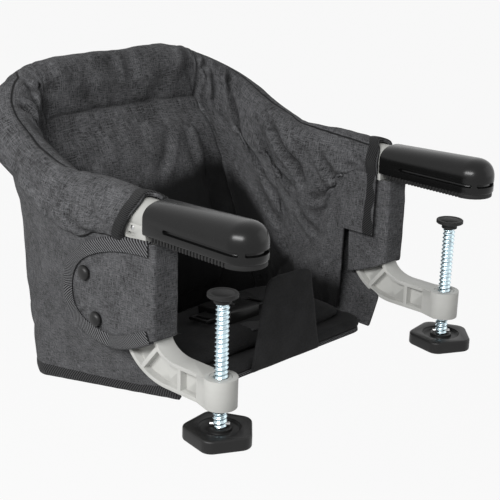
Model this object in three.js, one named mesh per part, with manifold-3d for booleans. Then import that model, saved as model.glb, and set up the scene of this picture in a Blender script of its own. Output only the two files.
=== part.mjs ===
// A child's seat that hangs on a table edge. A bent tube carries a fabric seat between two arms.
// The arms lie on the table top in black grips, and under each grip a clamp arm folds down, with a
// threaded screw that presses a swivel pad against the underside of the table.
//
// Frame of the part, in millimetres: X runs across the seat, Y from the table towards the seat's
// back, Z up. X = 0 is the middle, Y = 0 the table edge and Z = 0 the table top.
// The child's right is at negative X.

import * as THREE from "three";
import { mergeVertices } from "three/addons/utils/BufferGeometryUtils.js";
import Module from "manifold-3d";

// Whole chair
const ARM_SPACING = 312; // between the centre lines of the two arms
const TABLE_THICKNESS = 30; // the gap that the clamps are set to
const CLEARANCE = 0.3; // between pieces that sit on or in each other
const OVERRUN = 3; // how far every cut runs past what it cuts

// Tubular frame
const TUBE_DIAMETER = 22;
const TUBE_WALL = 1.5;
const ARM_HEIGHT = 14; // tube axis above the table top
const TUBE_REACH = 80; // tube end over the table, from the table edge
const BACK_DEPTH = 260; // table edge to the tube axis across the back
const BACK_RISE = 71; // tube axis at the back above the tube axis of the arms
const BACK_CORNER_RADIUS = 62; // bend of the tube axis seen from above
const RISE_MIDDLE = 215; // halfway up the tube's climb, along it from the table edge
const RISE_REACH = 100; // the tube climbs from this far before that place to as far after it
const PLUG_FLANGE = 2;
const PLUG_LENGTH = 14;

// Grip on each arm
const GRIP_WIDTH = 41;
const GRIP_REAR = 12; // behind the table edge
const GRIP_NOSE_CENTRE = 85.5; // centre of the round nose, over the table
const GRIP_REAR_HEIGHT = 31;
const GRIP_NOSE_HEIGHT = 35.6;
const GRIP_BOTTOM = 6; // underside of the shell above the table top
const GRIP_SHOULDER_HEIGHT = 17; // where the straight side turns into the round top
const SLOT_HEIGHT = 4;
const SLOT_CENTRE_HEIGHT = 12.5;
const SLOT_DEPTH = 4.5;
const SLOT_REAR = 12; // rear end of the slot, over the table

// Rubber pad under each grip
const PAD_INSET = 1; // from the grip's side
const PAD_REAR = 1; // behind the table edge
const PAD_FLOOR = 2.6; // under the tube
const PAD_RIM = 4.2; // width of the raised rim round the floor
const TOOTH_PITCH = 3.7;
const TOOTH_GAP = 1.9;
const TOOTH_DEPTH = 1.5;

// Hub that carries the clamp arm
const HUB_RADIUS = 15;
const HUB_FRONT = 12.6; // behind the table edge
const HUB_REAR = 50;
const HUB_CHEEK_FRONT = 14;
const HUB_CHEEK_REAR = 38;
const FOLD_AXIS_DROP = 28; // from the tube axis down to the fold pin
const KNUCKLE_RADIUS = 9;
const KNUCKLE_LENGTH = 11.2;
const KNUCKLE_SIDE_GAP = 0.4;
const PIN_DIAMETER = 6;
const PIN_HEAD_DIAMETER = 9;
const PIN_HEAD_THICKNESS = 1.8;
const HUB_SCREW_DIAMETER = 4.6;
const HUB_SCREW_HEAD_DIAMETER = 9;
const HUB_SCREW_HEAD = 2.6;
const HUB_SCREW_LENGTH = 8;
const HUB_SCREW_PLACE = 44; // behind the table edge
const BUTTON_LENGTH = 11; // along the tube
const BUTTON_HEIGHT = 4.2;
const BUTTON_PLACE = 31; // behind the table edge
const BUTTON_DROP = 15; // below the tube axis
const BUTTON_STAND = 1.8; // stands out of the hub's cheek
const BUTTON_BODY = 3; // inside the cheek
const BUTTON_TRAVEL = 1.5;

// Clamp arm
const CLAMP_WIDTH = 19;
const SPINE_FRONT = 5; // behind the table edge
const SPINE_DEPTH = 43;
const SPINE_TOP_DROP = 11.5; // below the fold pin
const BEAM_TOP = 104; // below the table top
const BEAM_HEIGHT = 26;
const INNER_BEND_LENGTH = 26;
const INNER_BEND_HEIGHT = 16;
const OUTER_BEND_LENGTH = 56;
const OUTER_BEND_HEIGHT = 44;
const FLANGE_THICKNESS = 3.6;
const WEB_THICKNESS = 5;
const RIB_THICKNESS = 4;
const BOSS_DIAMETER = 29;
const BOSS_PLACE = 64; // over the table, from its edge
const BOSS_TOP = 103; // below the table top
const BOSS_BOTTOM = 129.5;
const INSERT_DIAMETER = 19;

// Clamp screw, swivel pad and knob
const SCREW_DIAMETER = 12;
const THREAD_PITCH = 4;
const THREAD_DEPTH = 1.3;
const SCREW_RUNNING_GAP = 0.35; // round the thread in its insert
const SCREW_TIP_DIAMETER = 8;
const SCREW_TIP_LENGTH = 5;
const SWIVEL_PAD_DIAMETER = 26;
const SWIVEL_PAD_FACE = 3.5;
const SWIVEL_PAD_NECK_DIAMETER = 15;
const SWIVEL_PAD_NECK = 5;
const KNOB_TOP = 148; // below the table top
const KNOB_THICKNESS = 12;
const KNOB_CORNER_REACH = 31;
const KNOB_CORNER_RADIUS = 11;
const KNOB_BEVEL = 2;
const KNOB_CORNERS = 5;
const KNOB_CORNER_TURN = 134; // degrees from +X to the first corner
const KNOB_DISH_DIAMETER = 36;
const KNOB_DISH_DEPTH = 3;
const KNOB_COLLAR_DIAMETER = 21;
const KNOB_FLOOR = 3; // under the screw's end
const KNOB_PIN_DIAMETER = 3.6;
const KNOB_PIN_LENGTH = 17;
const KNOB_PIN_TURN = -46; // degrees from +X
const KNOB_PIN_LIFT = 2.2; // pin axis above the knob's collar

// Padded sleeve over the tube
const SLEEVE_HALF_WIDTH = 20;
const SLEEVE_CROWN = 19.3; // ridge above the tube axis
const SLEEVE_PADDING = 4;
const SLEEVE_TUBE_GAP = 1; // between the tube and the padding over it
const SLEEVE_WALL_GAP = 1; // between the padding and the wall inside it
const SLEEVE_FRONT = 27; // ridge of the front end, behind the table edge
const SLEEVE_FRONT_SLANT_SHARE = 0.61; // how far the front end runs back per drop
const SLEEVE_SLANT_REACH = 70; // the slant fades out over this length
const SLEEVE_SKIRT_FRONT = 22; // skirt's edge below the tube axis, at the front end
const SLEEVE_SKIRT_SIDE = 31; // at its longest on the arms
const SLEEVE_SKIRT_CORNER = 21; // at the back corners, outside
const SLEEVE_SKIRT_BACK = 34; // across the back
const SLEEVE_SEAM_PLACE = 90; // seam between arm sleeve and back roll, from the middle
const SLEEVE_DRAW_IN = 3; // skirt's edge drawn in from the widest place
const BINDING_WIDTH = 9;
const BINDING_THICKNESS = 1.2;

// Fabric walls of the seat
const WALL_THICKNESS = 4;
const WALL_FRONT = 53; // front edge, behind the table edge
const WALL_TUCK = 13; // wall's top edge below the tube axis, inside the sleeve
const WALL_LEAN_SHARE = 0.215; // how far the back wall runs back per rise
const WALL_FLARE_POWER = 7; // how late the back wall bends out to the roll
const WALL_CORNER_POWER = 1.5; // how late the wall's corners round out
const LINING_THICKNESS = 1.5; // cloth inside each side, from inside the sleeve to the base
const LINING_WALL_GAP = 2.6; // between that cloth and the wall behind it
const LINING_BEND_DROP = 3; // below the sleeve's edge, where the side's cloth bends inwards
const HEM_HEIGHT = 10;
const HEM_THICKNESS = 1.2;
const HEM_GAP = 0.5; // between the hem and the wall

// Seat base, a board in a black cover
const BASE_FRONT = 6; // behind the table edge
const BASE_FRONT_DROP = 155; // underside of the front edge below the table top
const BASE_FRONT_WIDTH = 250;
const BASE_REAR_WIDTH = 318;
const BASE_BACK = 178; // rear edge, behind the table edge
const BASE_FRONT_CORNER = 22;
const BASE_REAR_CORNER = 18;
const BASE_THICKNESS = 11;
const BASE_SLOPE = 5.7; // degrees down to the rear

// Cushions
const SEAT_PAD_THICKNESS = 14;
const SEAT_PAD_INSET = 10; // from the base's outline
const SEAT_PAD_REAR_INSET = 24;
const SEAT_PAD_CROWN = 4;
const BACK_CUSHION_WIDTH = 194;
const BACK_CUSHION_TOP = 43; // above the table top
const BACK_CUSHION_LIFT = 20; // bottom edge above the base's underside
const BACK_CUSHION_THICKNESS = 13;
const BACK_CUSHION_CROWN = 4;
const BACK_CUSHION_TOP_CORNER = 42;
const BACK_CUSHION_BOTTOM_CORNER = 12;
const BACK_CUSHION_PLEATS = 5;
const BACK_CUSHION_PLEAT_DEPTH = 1.2;

// Front panel between the child's legs
const CROTCH_BOTTOM_WIDTH = 96;
const CROTCH_TOP_WIDTH = 66;
const CROTCH_TOP_DROP = 66; // below the table top
const CROTCH_THICKNESS = 4;
const CROTCH_CORNER = 16;

// Flap that wraps the clamp arm's spine
const FLAP_THICKNESS = 3.2;
const FLAP_FRONT_GAP = 1; // behind the table edge
const FLAP_OUTER_GAP = 3; // between the clamp arm's side and the flap
const FLAP_INNER_GAP = 1;
const FLAP_TOP_FRONT = 3; // top edge below the table top, at the front
const FLAP_TOP_REAR = 24;
const FLAP_TOP_CORNER = 94; // where the top edge turns down, behind the table edge
const FLAP_REAR = 120;
const FLAP_REAR_DROP = 68;
const FLAP_LOW_PLACE = 57;
const FLAP_LOW_DROP = 110;
const FLAP_FRONT_DROP = 88;
const FLAP_BINDING_WIDTH = 9;
const SNAP_DIAMETER = 12;
const SNAP_HEIGHT = 4;
const UPPER_SNAP_PLACE = 90; // behind the table edge
const UPPER_SNAP_DROP = 49.5;
const LOWER_SNAP_PLACE = 74.5;
const LOWER_SNAP_DROP = 88.5;

// Harness on the seat pad
const WEBBING_WIDTH = 25;
const WEBBING_THICKNESS = 1.5;
const BUCKLE_PLACE = 78; // behind the table edge
const BUCKLE_WIDTH = 42;
const BUCKLE_LENGTH = 46;
const BUCKLE_THICKNESS = 13;
const BUCKLE_ROUNDING = 3;
const BUCKLE_BUTTON_DIAMETER = 15;
const BUCKLE_BUTTON_DEPTH = 6;
const BUCKLE_BUTTON_STAND = 1.5;
const TONGUE_LENGTH = 30;
const TONGUE_OVERLAP = 9; // inside the buckle
const TONGUE_THICKNESS = 3;
const TONGUE_SLOT_LENGTH = 5;
const TONGUE_SLOT_MARGIN = 3;
const WAIST_ANCHOR_PLACE = 92; // from the middle
const WAIST_ANCHOR_DEPTH = 150; // behind the table edge

// How finely round shapes are divided
const TUBE_SIDES = 12;
const PIN_SIDES = 16;
const FINE_SIDES = 24;
const SCREW_SIDES = 8;
const SCREW_STEPS_PER_TURN = 3;

// Values that follow from the sizes above
const armX = ARM_SPACING / 2;
const tubeRadius = TUBE_DIAMETER / 2;
const foldAxisZ = ARM_HEIGHT - FOLD_AXIS_DROP;
const wallOffset = SLEEVE_HALF_WIDTH - SLEEVE_PADDING - SLEEVE_WALL_GAP;
const baseSlope = Math.tan(THREE.MathUtils.degToRad(BASE_SLOPE));
const clampScrewY = -BOSS_PLACE;

const wasm = await Module();
wasm.setup();

// Turns a closed geometry into a solid for cutting and joining.
function toSolid(geometry) {
  const bare = geometry.index ? geometry.toNonIndexed() : geometry.clone();
  const points = new THREE.BufferGeometry().setAttribute("position", bare.getAttribute("position"));
  const merged = mergeVertices(points);
  return new wasm.Manifold(
    new wasm.Mesh({
      numProp: 3,
      vertProperties: new Float32Array(merged.attributes.position.array),
      triVerts: new Uint32Array(merged.index.array),
    }),
  );
}

// Turns a solid back into a geometry.
function toGeometry(solid) {
  const mesh = solid.getMesh();
  const positions = new Float32Array(mesh.numVert * 3);
  for (let i = 0; i < mesh.numVert; i++) {
    positions.set(mesh.vertProperties.subarray(i * mesh.numProp, i * mesh.numProp + 3), i * 3);
  }
  return new THREE.BufferGeometry()
    .setAttribute("position", new THREE.BufferAttribute(positions, 3))
    .setIndex(new THREE.BufferAttribute(new Uint32Array(mesh.triVerts), 1));
}

function join(...geometries) {
  const solids = geometries.map(toSolid);
  return toGeometry(solids.reduce((all, solid) => all.add(solid)));
}

function cut(body, ...tools) {
  const solids = tools.map(toSolid);
  return toGeometry(solids.reduce((left, solid) => left.subtract(solid), toSolid(body)));
}

function common(first, second) {
  return toGeometry(toSolid(first).intersect(toSolid(second)));
}

// Turns every face round where a surface came out inside out.
function facingOut(geometry) {
  const place = geometry.getAttribute("position");
  const index = geometry.index.array;
  const corners = [new THREE.Vector3(), new THREE.Vector3(), new THREE.Vector3()];
  let volume = 0;
  for (let i = 0; i < index.length; i += 3) {
    corners.forEach((corner, k) => corner.fromBufferAttribute(place, index[i + k]));
    volume += corners[0].dot(corners[1].clone().cross(corners[2]));
  }
  if (volume < 0) {
    for (let i = 0; i < index.length; i += 3) {
      [index[i + 1], index[i + 2]] = [index[i + 2], index[i + 1]];
    }
  }
  return geometry;
}

// Triangles that close the end of a loft, on the plane that its last ring lies in.
function capFaces(ring, offset) {
  const normal = new THREE.Vector3();
  ring.forEach((point, i) => normal.add(point.clone().cross(ring[(i + 1) % ring.length])));
  normal.normalize();
  const across = new THREE.Vector3(1, 0, 0);
  if (Math.abs(normal.x) > Math.abs(normal.y)) {
    across.set(0, 1, 0);
  }
  across.addScaledVector(normal, -across.dot(normal)).normalize();
  const up = normal.clone().cross(across);
  const flat = ring.map((point) => new THREE.Vector2(point.dot(across), point.dot(up)));
  return THREE.ShapeUtils.triangulateShape(flat, []).map((face) => face.map((i) => i + offset));
}

// Joins rings of as many points each into one closed surface. A loop of rings closes on itself.
function loft(rings, loop = false) {
  const count = rings[0].length;
  const faces = [];
  const rows = loop ? rings.length : rings.length - 1;
  for (let row = 0; row < rows; row++) {
    const next = ((row + 1) % rings.length) * count;
    const here = row * count;
    for (let i = 0; i < count; i++) {
      const j = (i + 1) % count;
      faces.push(here + i, here + j, next + j, here + i, next + j, next + i);
    }
  }
  if (!loop) {
    const last = (rings.length - 1) * count;
    capFaces(rings[0], 0).forEach(([a, b, c]) => faces.push(a, c, b));
    capFaces(rings[rings.length - 1], last).forEach(([a, b, c]) => faces.push(a, b, c));
  }
  const positions = new Float32Array(rings.flat().flatMap((p) => [p.x, p.y, p.z]));
  return facingOut(
    new THREE.BufferGeometry()
      .setAttribute("position", new THREE.BufferAttribute(positions, 3))
      .setIndex(new THREE.BufferAttribute(new Uint32Array(faces), 1)),
  );
}

// A front and a back sheet of points with one shared outline, closed into a cushion.
function closedSheets(front, back) {
  const rows = front.length;
  const columns = front[0].length;
  const points = [];
  const faces = [];
  const frontAt = (r, c) => r * columns + c;
  const backAt = (r, c) => rows * columns + r * columns + c;
  points.push(...front.flat(), ...back.flat());
  for (let r = 0; r < rows - 1; r++) {
    for (let c = 0; c < columns - 1; c++) {
      faces.push(frontAt(r, c), frontAt(r, c + 1), frontAt(r + 1, c + 1));
      faces.push(frontAt(r, c), frontAt(r + 1, c + 1), frontAt(r + 1, c));
      faces.push(backAt(r, c), backAt(r + 1, c + 1), backAt(r, c + 1));
      faces.push(backAt(r, c), backAt(r + 1, c), backAt(r + 1, c + 1));
    }
  }
  const edge = (a, b) => {
    const [fa, fb] = [frontAt(...a), frontAt(...b)];
    const [ba, bb] = [backAt(...a), backAt(...b)];
    faces.push(fb, fa, ba, fb, ba, bb);
  };
  for (let c = 0; c < columns - 1; c++) {
    edge([0, c], [0, c + 1]);
    edge([rows - 1, c + 1], [rows - 1, c]);
  }
  for (let r = 0; r < rows - 1; r++) {
    edge([r + 1, 0], [r, 0]);
    edge([r, columns - 1], [r + 1, columns - 1]);
  }
  const positions = new Float32Array(points.flatMap((p) => [p.x, p.y, p.z]));
  return facingOut(
    new THREE.BufferGeometry()
      .setAttribute("position", new THREE.BufferAttribute(positions, 3))
      .setIndex(new THREE.BufferAttribute(new Uint32Array(faces), 1)),
  );
}

// Puts a flat shape's own X, Y and thickness along the given directions.
function laid(geometry, xTo, yTo, zTo, origin) {
  const basis = new THREE.Matrix4().makeBasis(xTo, yTo, zTo).setPosition(origin);
  return geometry.applyMatrix4(basis);
}

const ALONG_X = new THREE.Vector3(1, 0, 0);
const ALONG_Y = new THREE.Vector3(0, 1, 0);
const ALONG_Z = new THREE.Vector3(0, 0, 1);

function plate(shape, depth, curveSegments) {
  return new THREE.ExtrudeGeometry(shape, { depth, bevelEnabled: false, curveSegments, steps: 1 });
}

// A shape drawn from the side, in Y and Z, that spans from one X to another.
function sidePlate(shape, fromX, toX, curveSegments = 6) {
  const origin = new THREE.Vector3(fromX, 0, 0);
  return laid(plate(shape, toX - fromX, curveSegments), ALONG_Y, ALONG_Z, ALONG_X, origin);
}

// A shape drawn from above, in X and Y, that spans from one Z to another.
function topPlate(shape, fromZ, toZ, curveSegments = 8) {
  return plate(shape, toZ - fromZ, curveSegments).translate(0, 0, fromZ);
}

function block(fromX, toX, fromY, toY, fromZ, toZ) {
  return new THREE.BoxGeometry(toX - fromX, toY - fromY, toZ - fromZ).translate(
    (fromX + toX) / 2,
    (fromY + toY) / 2,
    (fromZ + toZ) / 2,
  );
}

// A round bar between two points.
function bar(radius, from, to, sides = PIN_SIDES) {
  const axis = to.clone().sub(from);
  const turn = new THREE.Quaternion().setFromUnitVectors(ALONG_Y, axis.clone().normalize());
  const middle = from.clone().add(to).multiplyScalar(0.5);
  return new THREE.CylinderGeometry(radius, radius, axis.length(), sides)
    .applyQuaternion(turn)
    .translate(middle.x, middle.y, middle.z);
}

// A profile of [radius, height] corners turned about an axis that starts at a point.
function turned(profile, origin, axis, sides = FINE_SIDES) {
  const outline = profile.map(([radius, height]) => new THREE.Vector2(radius, height));
  const turn = new THREE.Quaternion().setFromUnitVectors(ALONG_Y, axis);
  const closed = mergeVertices(bareOf(new THREE.LatheGeometry(outline, sides)));
  return facingOut(withoutSlivers(closed))
    .applyQuaternion(turn)
    .translate(origin.x, origin.y, origin.z);
}

function bareOf(geometry) {
  geometry.deleteAttribute("normal");
  geometry.deleteAttribute("uv");
  return geometry;
}

// A lathe leaves empty triangles where its profile meets the axis.
function withoutSlivers(geometry) {
  const index = geometry.index.array;
  const kept = [];
  for (let i = 0; i < index.length; i += 3) {
    const [a, b, c] = [index[i], index[i + 1], index[i + 2]];
    if (a !== b && b !== c && c !== a) {
      kept.push(a, b, c);
    }
  }
  return geometry.setIndex(new THREE.BufferAttribute(new Uint32Array(kept), 1));
}

const smooth = (share) => THREE.MathUtils.smoothstep(share, 0, 1);
const mix = THREE.MathUtils.lerp;
const clampShare = (share) => THREE.MathUtils.clamp(share, 0, 1);
const range = (count) => Array.from({ length: count }, (_, i) => i);

// The centre line of the tube
const armLength = TUBE_REACH + BACK_DEPTH - BACK_CORNER_RADIUS;
const cornerLength = (BACK_CORNER_RADIUS * Math.PI) / 2;
const backHalf = armX - BACK_CORNER_RADIUS;
const railHalf = armLength + cornerLength + backHalf;
const climbStart = TUBE_REACH + RISE_MIDDLE - RISE_REACH;
const climbEnd = climbStart + 2 * RISE_REACH;

// The centre line at a distance from the right arm's front end, measured as seen from above:
// its point, its direction away from the seat and its direction along the tube.
function rail(distance) {
  const mirrored = distance > railHalf;
  const d = mirrored ? 2 * railHalf - distance : distance;
  const pastArm = d - armLength;
  const angle = THREE.MathUtils.clamp(pastArm / BACK_CORNER_RADIUS, 0, Math.PI / 2);
  const outward = new THREE.Vector3(-Math.cos(angle), Math.sin(angle), 0);
  const centre = new THREE.Vector3(-backHalf, BACK_DEPTH - BACK_CORNER_RADIUS, 0);
  const point = centre.addScaledVector(outward, BACK_CORNER_RADIUS);
  point.y += Math.min(pastArm, 0);
  point.x += Math.max(pastArm - cornerLength, 0);
  point.z = ARM_HEIGHT + BACK_RISE * THREE.MathUtils.smoothstep(d, climbStart, climbEnd);
  const along = new THREE.Vector3(Math.sin(angle), Math.cos(angle), 0);
  if (mirrored) {
    point.x = -point.x;
    outward.x = -outward.x;
    along.y = -along.y;
  }
  return { point, outward, along };
}

// The distance along the centre line of a place on the right arm
const railAtY = (y) => TUBE_REACH + y;

// The slope of the tube, for rings that stand square to it
function railTangent(distance) {
  const step = 1;
  return rail(distance + step).point.sub(rail(distance - step).point).normalize();
}

function tubeRing(distance, radius) {
  const { point, outward } = rail(distance);
  const tangent = railTangent(distance);
  const side = outward.clone().addScaledVector(tangent, -outward.dot(tangent)).normalize();
  const up = tangent.clone().cross(side).normalize();
  return range(TUBE_SIDES).map((i) => {
    const angle = (2 * Math.PI * i) / TUBE_SIDES;
    return point
      .clone()
      .addScaledVector(side, radius * Math.cos(angle))
      .addScaledVector(up, radius * Math.sin(angle));
  });
}

// Places along the right half of the tube where it needs a ring, the same for the left half.
function bendPlaces() {
  const start = Math.min(armLength, climbStart);
  const end = Math.max(armLength + cornerLength, climbEnd);
  const bends = range(10).map((i) => mix(start, end, i / 9));
  return [...bends, railHalf];
}

function frameTube() {
  const right = [0, ...bendPlaces()];
  const places = [...right, ...right.slice(0, -1).reverse().map((d) => 2 * railHalf - d)];
  const outer = places.map((d) => tubeRing(d, tubeRadius));
  const inner = places.map((d) => tubeRing(d, tubeRadius - TUBE_WALL));
  const tube = loft([...outer, ...inner.reverse()], true);
  return cut(tube, ...[-1, 1].map((side) => hubScrewHole(side)));
}

function tubePlug(side) {
  const inside = tubeRadius - TUBE_WALL - 2 * CLEARANCE;
  const profile = [
    [0, 0],
    [tubeRadius, 0],
    [tubeRadius, PLUG_FLANGE],
    [inside, PLUG_FLANGE],
    [inside, PLUG_LENGTH],
    [0, PLUG_LENGTH],
  ];
  const front = -TUBE_REACH - CLEARANCE - PLUG_FLANGE;
  return turned(profile, new THREE.Vector3(side * armX, front, ARM_HEIGHT), ALONG_Y, PIN_SIDES);
}

// Outline of the grip seen from above, open at the rear, at a distance in from its side
function gripOutline(inset, rear) {
  const half = GRIP_WIDTH / 2 - inset;
  const sides = 12;
  const nose = range(sides + 1).map((i) => {
    const angle = Math.PI + (Math.PI * i) / sides;
    return new THREE.Vector2(half * Math.cos(angle), -GRIP_NOSE_CENTRE + half * Math.sin(angle));
  });
  return [new THREE.Vector2(-half, rear), ...nose, new THREE.Vector2(half, rear)];
}

function gripTop(y) {
  const share = (GRIP_REAR - y) / (GRIP_REAR + GRIP_NOSE_CENTRE);
  return mix(GRIP_REAR_HEIGHT, GRIP_NOSE_HEIGHT, share);
}

function grip(side) {
  const levelShares = [0, 0.2, 0.4, 0.6, 0.8, 0.95];
  const roundnessShare = 0.85;
  const rings = [gripOutline(0, GRIP_REAR).map((p) => new THREE.Vector3(p.x, p.y, GRIP_BOTTOM))];
  levelShares.forEach((share) => {
    const angle = (share * Math.PI) / 2;
    const inset = (GRIP_WIDTH / 2) * (1 - Math.cos(angle) ** roundnessShare);
    const lift = Math.sin(angle) ** roundnessShare;
    const outline = gripOutline(inset, GRIP_REAR);
    rings.push(
      outline.map((p) => new THREE.Vector3(p.x, p.y, mix(GRIP_SHOULDER_HEIGHT, gripTop(p.y), lift))),
    );
  });
  const slotInside = gripOutline(SLOT_DEPTH, -SLOT_REAR).reverse();
  const slot = new THREE.Shape([...gripOutline(-OVERRUN, -SLOT_REAR), ...slotInside]);
  const slotLow = SLOT_CENTRE_HEIGHT - SLOT_HEIGHT / 2;
  const slotEnds = [-1, 1].map((way) => {
    const outside = new THREE.Vector3(way * (GRIP_WIDTH / 2 + OVERRUN), -SLOT_REAR, SLOT_CENTRE_HEIGHT);
    const inside = outside.clone().setX(way * (GRIP_WIDTH / 2 - SLOT_DEPTH));
    return bar(SLOT_HEIGHT / 2, inside, outside);
  });
  const boreEnd = -TUBE_REACH - PLUG_FLANGE - 2 * CLEARANCE;
  const bore = bar(
    tubeRadius + CLEARANCE,
    new THREE.Vector3(0, boreEnd, ARM_HEIGHT),
    new THREE.Vector3(0, GRIP_REAR + OVERRUN, ARM_HEIGHT),
    FINE_SIDES,
  );
  const slotCut = topPlate(slot, slotLow, slotLow + SLOT_HEIGHT);
  return cut(loft(rings), slotCut, ...slotEnds, bore).translate(side * armX, 0, 0);
}

// Teeth run along both sides of the pad, up to where the nose begins.
function padOutline() {
  const half = GRIP_WIDTH / 2 - PAD_INSET;
  const count = Math.floor((PAD_REAR + GRIP_NOSE_CENTRE) / TOOTH_PITCH);
  const left = [new THREE.Vector2(-half, PAD_REAR)];
  range(count).forEach((i) => {
    const gapStart = PAD_REAR - i * TOOTH_PITCH - (TOOTH_PITCH - TOOTH_GAP);
    const gapEnd = gapStart - TOOTH_GAP;
    left.push(new THREE.Vector2(-half, gapStart), new THREE.Vector2(-half + TOOTH_DEPTH, gapStart));
    left.push(new THREE.Vector2(-half + TOOTH_DEPTH, gapEnd), new THREE.Vector2(-half, gapEnd));
  });
  const right = left.map((p) => new THREE.Vector2(-p.x, p.y)).reverse();
  const nose = gripOutline(PAD_INSET, PAD_REAR).slice(1, -1);
  return [...left, ...nose, ...right];
}

function gripPad(side) {
  const body = topPlate(new THREE.Shape(padOutline()), 0, GRIP_BOTTOM - CLEARANCE);
  const inner = new THREE.Shape(gripOutline(PAD_INSET + PAD_RIM, PAD_REAR + OVERRUN));
  const hollow = topPlate(inner, PAD_FLOOR, GRIP_BOTTOM + OVERRUN);
  return cut(body, hollow).translate(side * armX, 0, 0);
}

const knuckleMiddle = (HUB_CHEEK_FRONT + HUB_CHEEK_REAR) / 2;
const knuckleFront = knuckleMiddle - KNUCKLE_LENGTH / 2;
const knuckleRear = knuckleMiddle + KNUCKLE_LENGTH / 2;

function hubScrewHole(side) {
  const low = new THREE.Vector3(side * armX, HUB_SCREW_PLACE, ARM_HEIGHT - HUB_RADIUS - OVERRUN);
  return bar(HUB_SCREW_DIAMETER / 2 + CLEARANCE, low, low.clone().setZ(ARM_HEIGHT));
}

function pinHole(side, gap) {
  const front = new THREE.Vector3(side * armX, HUB_CHEEK_FRONT - OVERRUN, foldAxisZ);
  return bar(PIN_DIAMETER / 2 + gap, front, front.clone().setY(HUB_CHEEK_REAR + OVERRUN));
}

// A rounded button outline in Y and Z
function buttonOutline(grown) {
  const half = BUTTON_HEIGHT / 2 + grown;
  const reach = (BUTTON_LENGTH - BUTTON_HEIGHT) / 2;
  const z = ARM_HEIGHT - BUTTON_DROP;
  const shape = new THREE.Shape();
  shape.absarc(BUTTON_PLACE + reach, z, half, -Math.PI / 2, Math.PI / 2);
  shape.absarc(BUTTON_PLACE - reach, z, half, Math.PI / 2, (3 * Math.PI) / 2);
  return shape;
}

function sideSpan(shape, side, near, far) {
  const [low, high] = [side * near, side * far].sort((a, b) => a - b);
  return sidePlate(shape, low, high);
}

function hub(side) {
  const x = side * armX;
  const at = (y, z) => new THREE.Vector3(x, y, z);
  const collar = bar(HUB_RADIUS, at(HUB_FRONT, ARM_HEIGHT), at(HUB_REAR, ARM_HEIGHT), FINE_SIDES);
  const cheeks = block(
    x - KNUCKLE_RADIUS,
    x + KNUCKLE_RADIUS,
    HUB_CHEEK_FRONT,
    HUB_CHEEK_REAR,
    foldAxisZ,
    ARM_HEIGHT,
  );
  const cheekEnds = bar(
    KNUCKLE_RADIUS,
    at(HUB_CHEEK_FRONT, foldAxisZ),
    at(HUB_CHEEK_REAR, foldAxisZ),
    FINE_SIDES,
  );
  const knuckleSpace = block(
    x - KNUCKLE_RADIUS - OVERRUN,
    x + KNUCKLE_RADIUS + OVERRUN,
    knuckleFront - KNUCKLE_SIDE_GAP,
    knuckleRear + KNUCKLE_SIDE_GAP,
    foldAxisZ - KNUCKLE_RADIUS - OVERRUN,
    foldAxisZ + KNUCKLE_RADIUS + KNUCKLE_SIDE_GAP,
  );
  const tubeBore = bar(
    tubeRadius + CLEARANCE,
    at(HUB_FRONT - OVERRUN, ARM_HEIGHT),
    at(HUB_REAR + OVERRUN, ARM_HEIGHT),
    FINE_SIDES,
  );
  const face = armX + KNUCKLE_RADIUS;
  const pocketFloor = face - BUTTON_BODY - BUTTON_TRAVEL - CLEARANCE;
  const pocket = sideSpan(buttonOutline(CLEARANCE), side, pocketFloor, face + OVERRUN);
  const body = join(collar, cheeks, cheekEnds);
  return cut(body, knuckleSpace, tubeBore, pinHole(side, CLEARANCE), hubScrewHole(side), pocket);
}

function hubScrew(side) {
  const profile = [
    [0, 0],
    [HUB_SCREW_HEAD_DIAMETER / 2, 0],
    [HUB_SCREW_HEAD_DIAMETER / 2, HUB_SCREW_HEAD],
    [HUB_SCREW_DIAMETER / 2, HUB_SCREW_HEAD],
    [HUB_SCREW_DIAMETER / 2, HUB_SCREW_HEAD + HUB_SCREW_LENGTH],
    [0, HUB_SCREW_HEAD + HUB_SCREW_LENGTH],
  ];
  const low = ARM_HEIGHT - HUB_RADIUS - CLEARANCE - HUB_SCREW_HEAD;
  return turned(profile, new THREE.Vector3(side * armX, HUB_SCREW_PLACE, low), ALONG_Z, PIN_SIDES);
}

function foldPin(side) {
  const profile = [
    [0, 0],
    [PIN_HEAD_DIAMETER / 2, 0],
    [PIN_HEAD_DIAMETER / 2, PIN_HEAD_THICKNESS],
    [PIN_DIAMETER / 2, PIN_HEAD_THICKNESS],
    [PIN_DIAMETER / 2, PIN_HEAD_THICKNESS + HUB_CHEEK_REAR - HUB_CHEEK_FRONT],
    [0, PIN_HEAD_THICKNESS + HUB_CHEEK_REAR - HUB_CHEEK_FRONT],
  ];
  const front = HUB_CHEEK_FRONT - CLEARANCE - PIN_HEAD_THICKNESS;
  return turned(profile, new THREE.Vector3(side * armX, front, foldAxisZ), ALONG_Y, PIN_SIDES);
}

function lockButton(side) {
  const face = armX + KNUCKLE_RADIUS;
  return sideSpan(buttonOutline(0), side, face - BUTTON_BODY, face + BUTTON_STAND);
}

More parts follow.
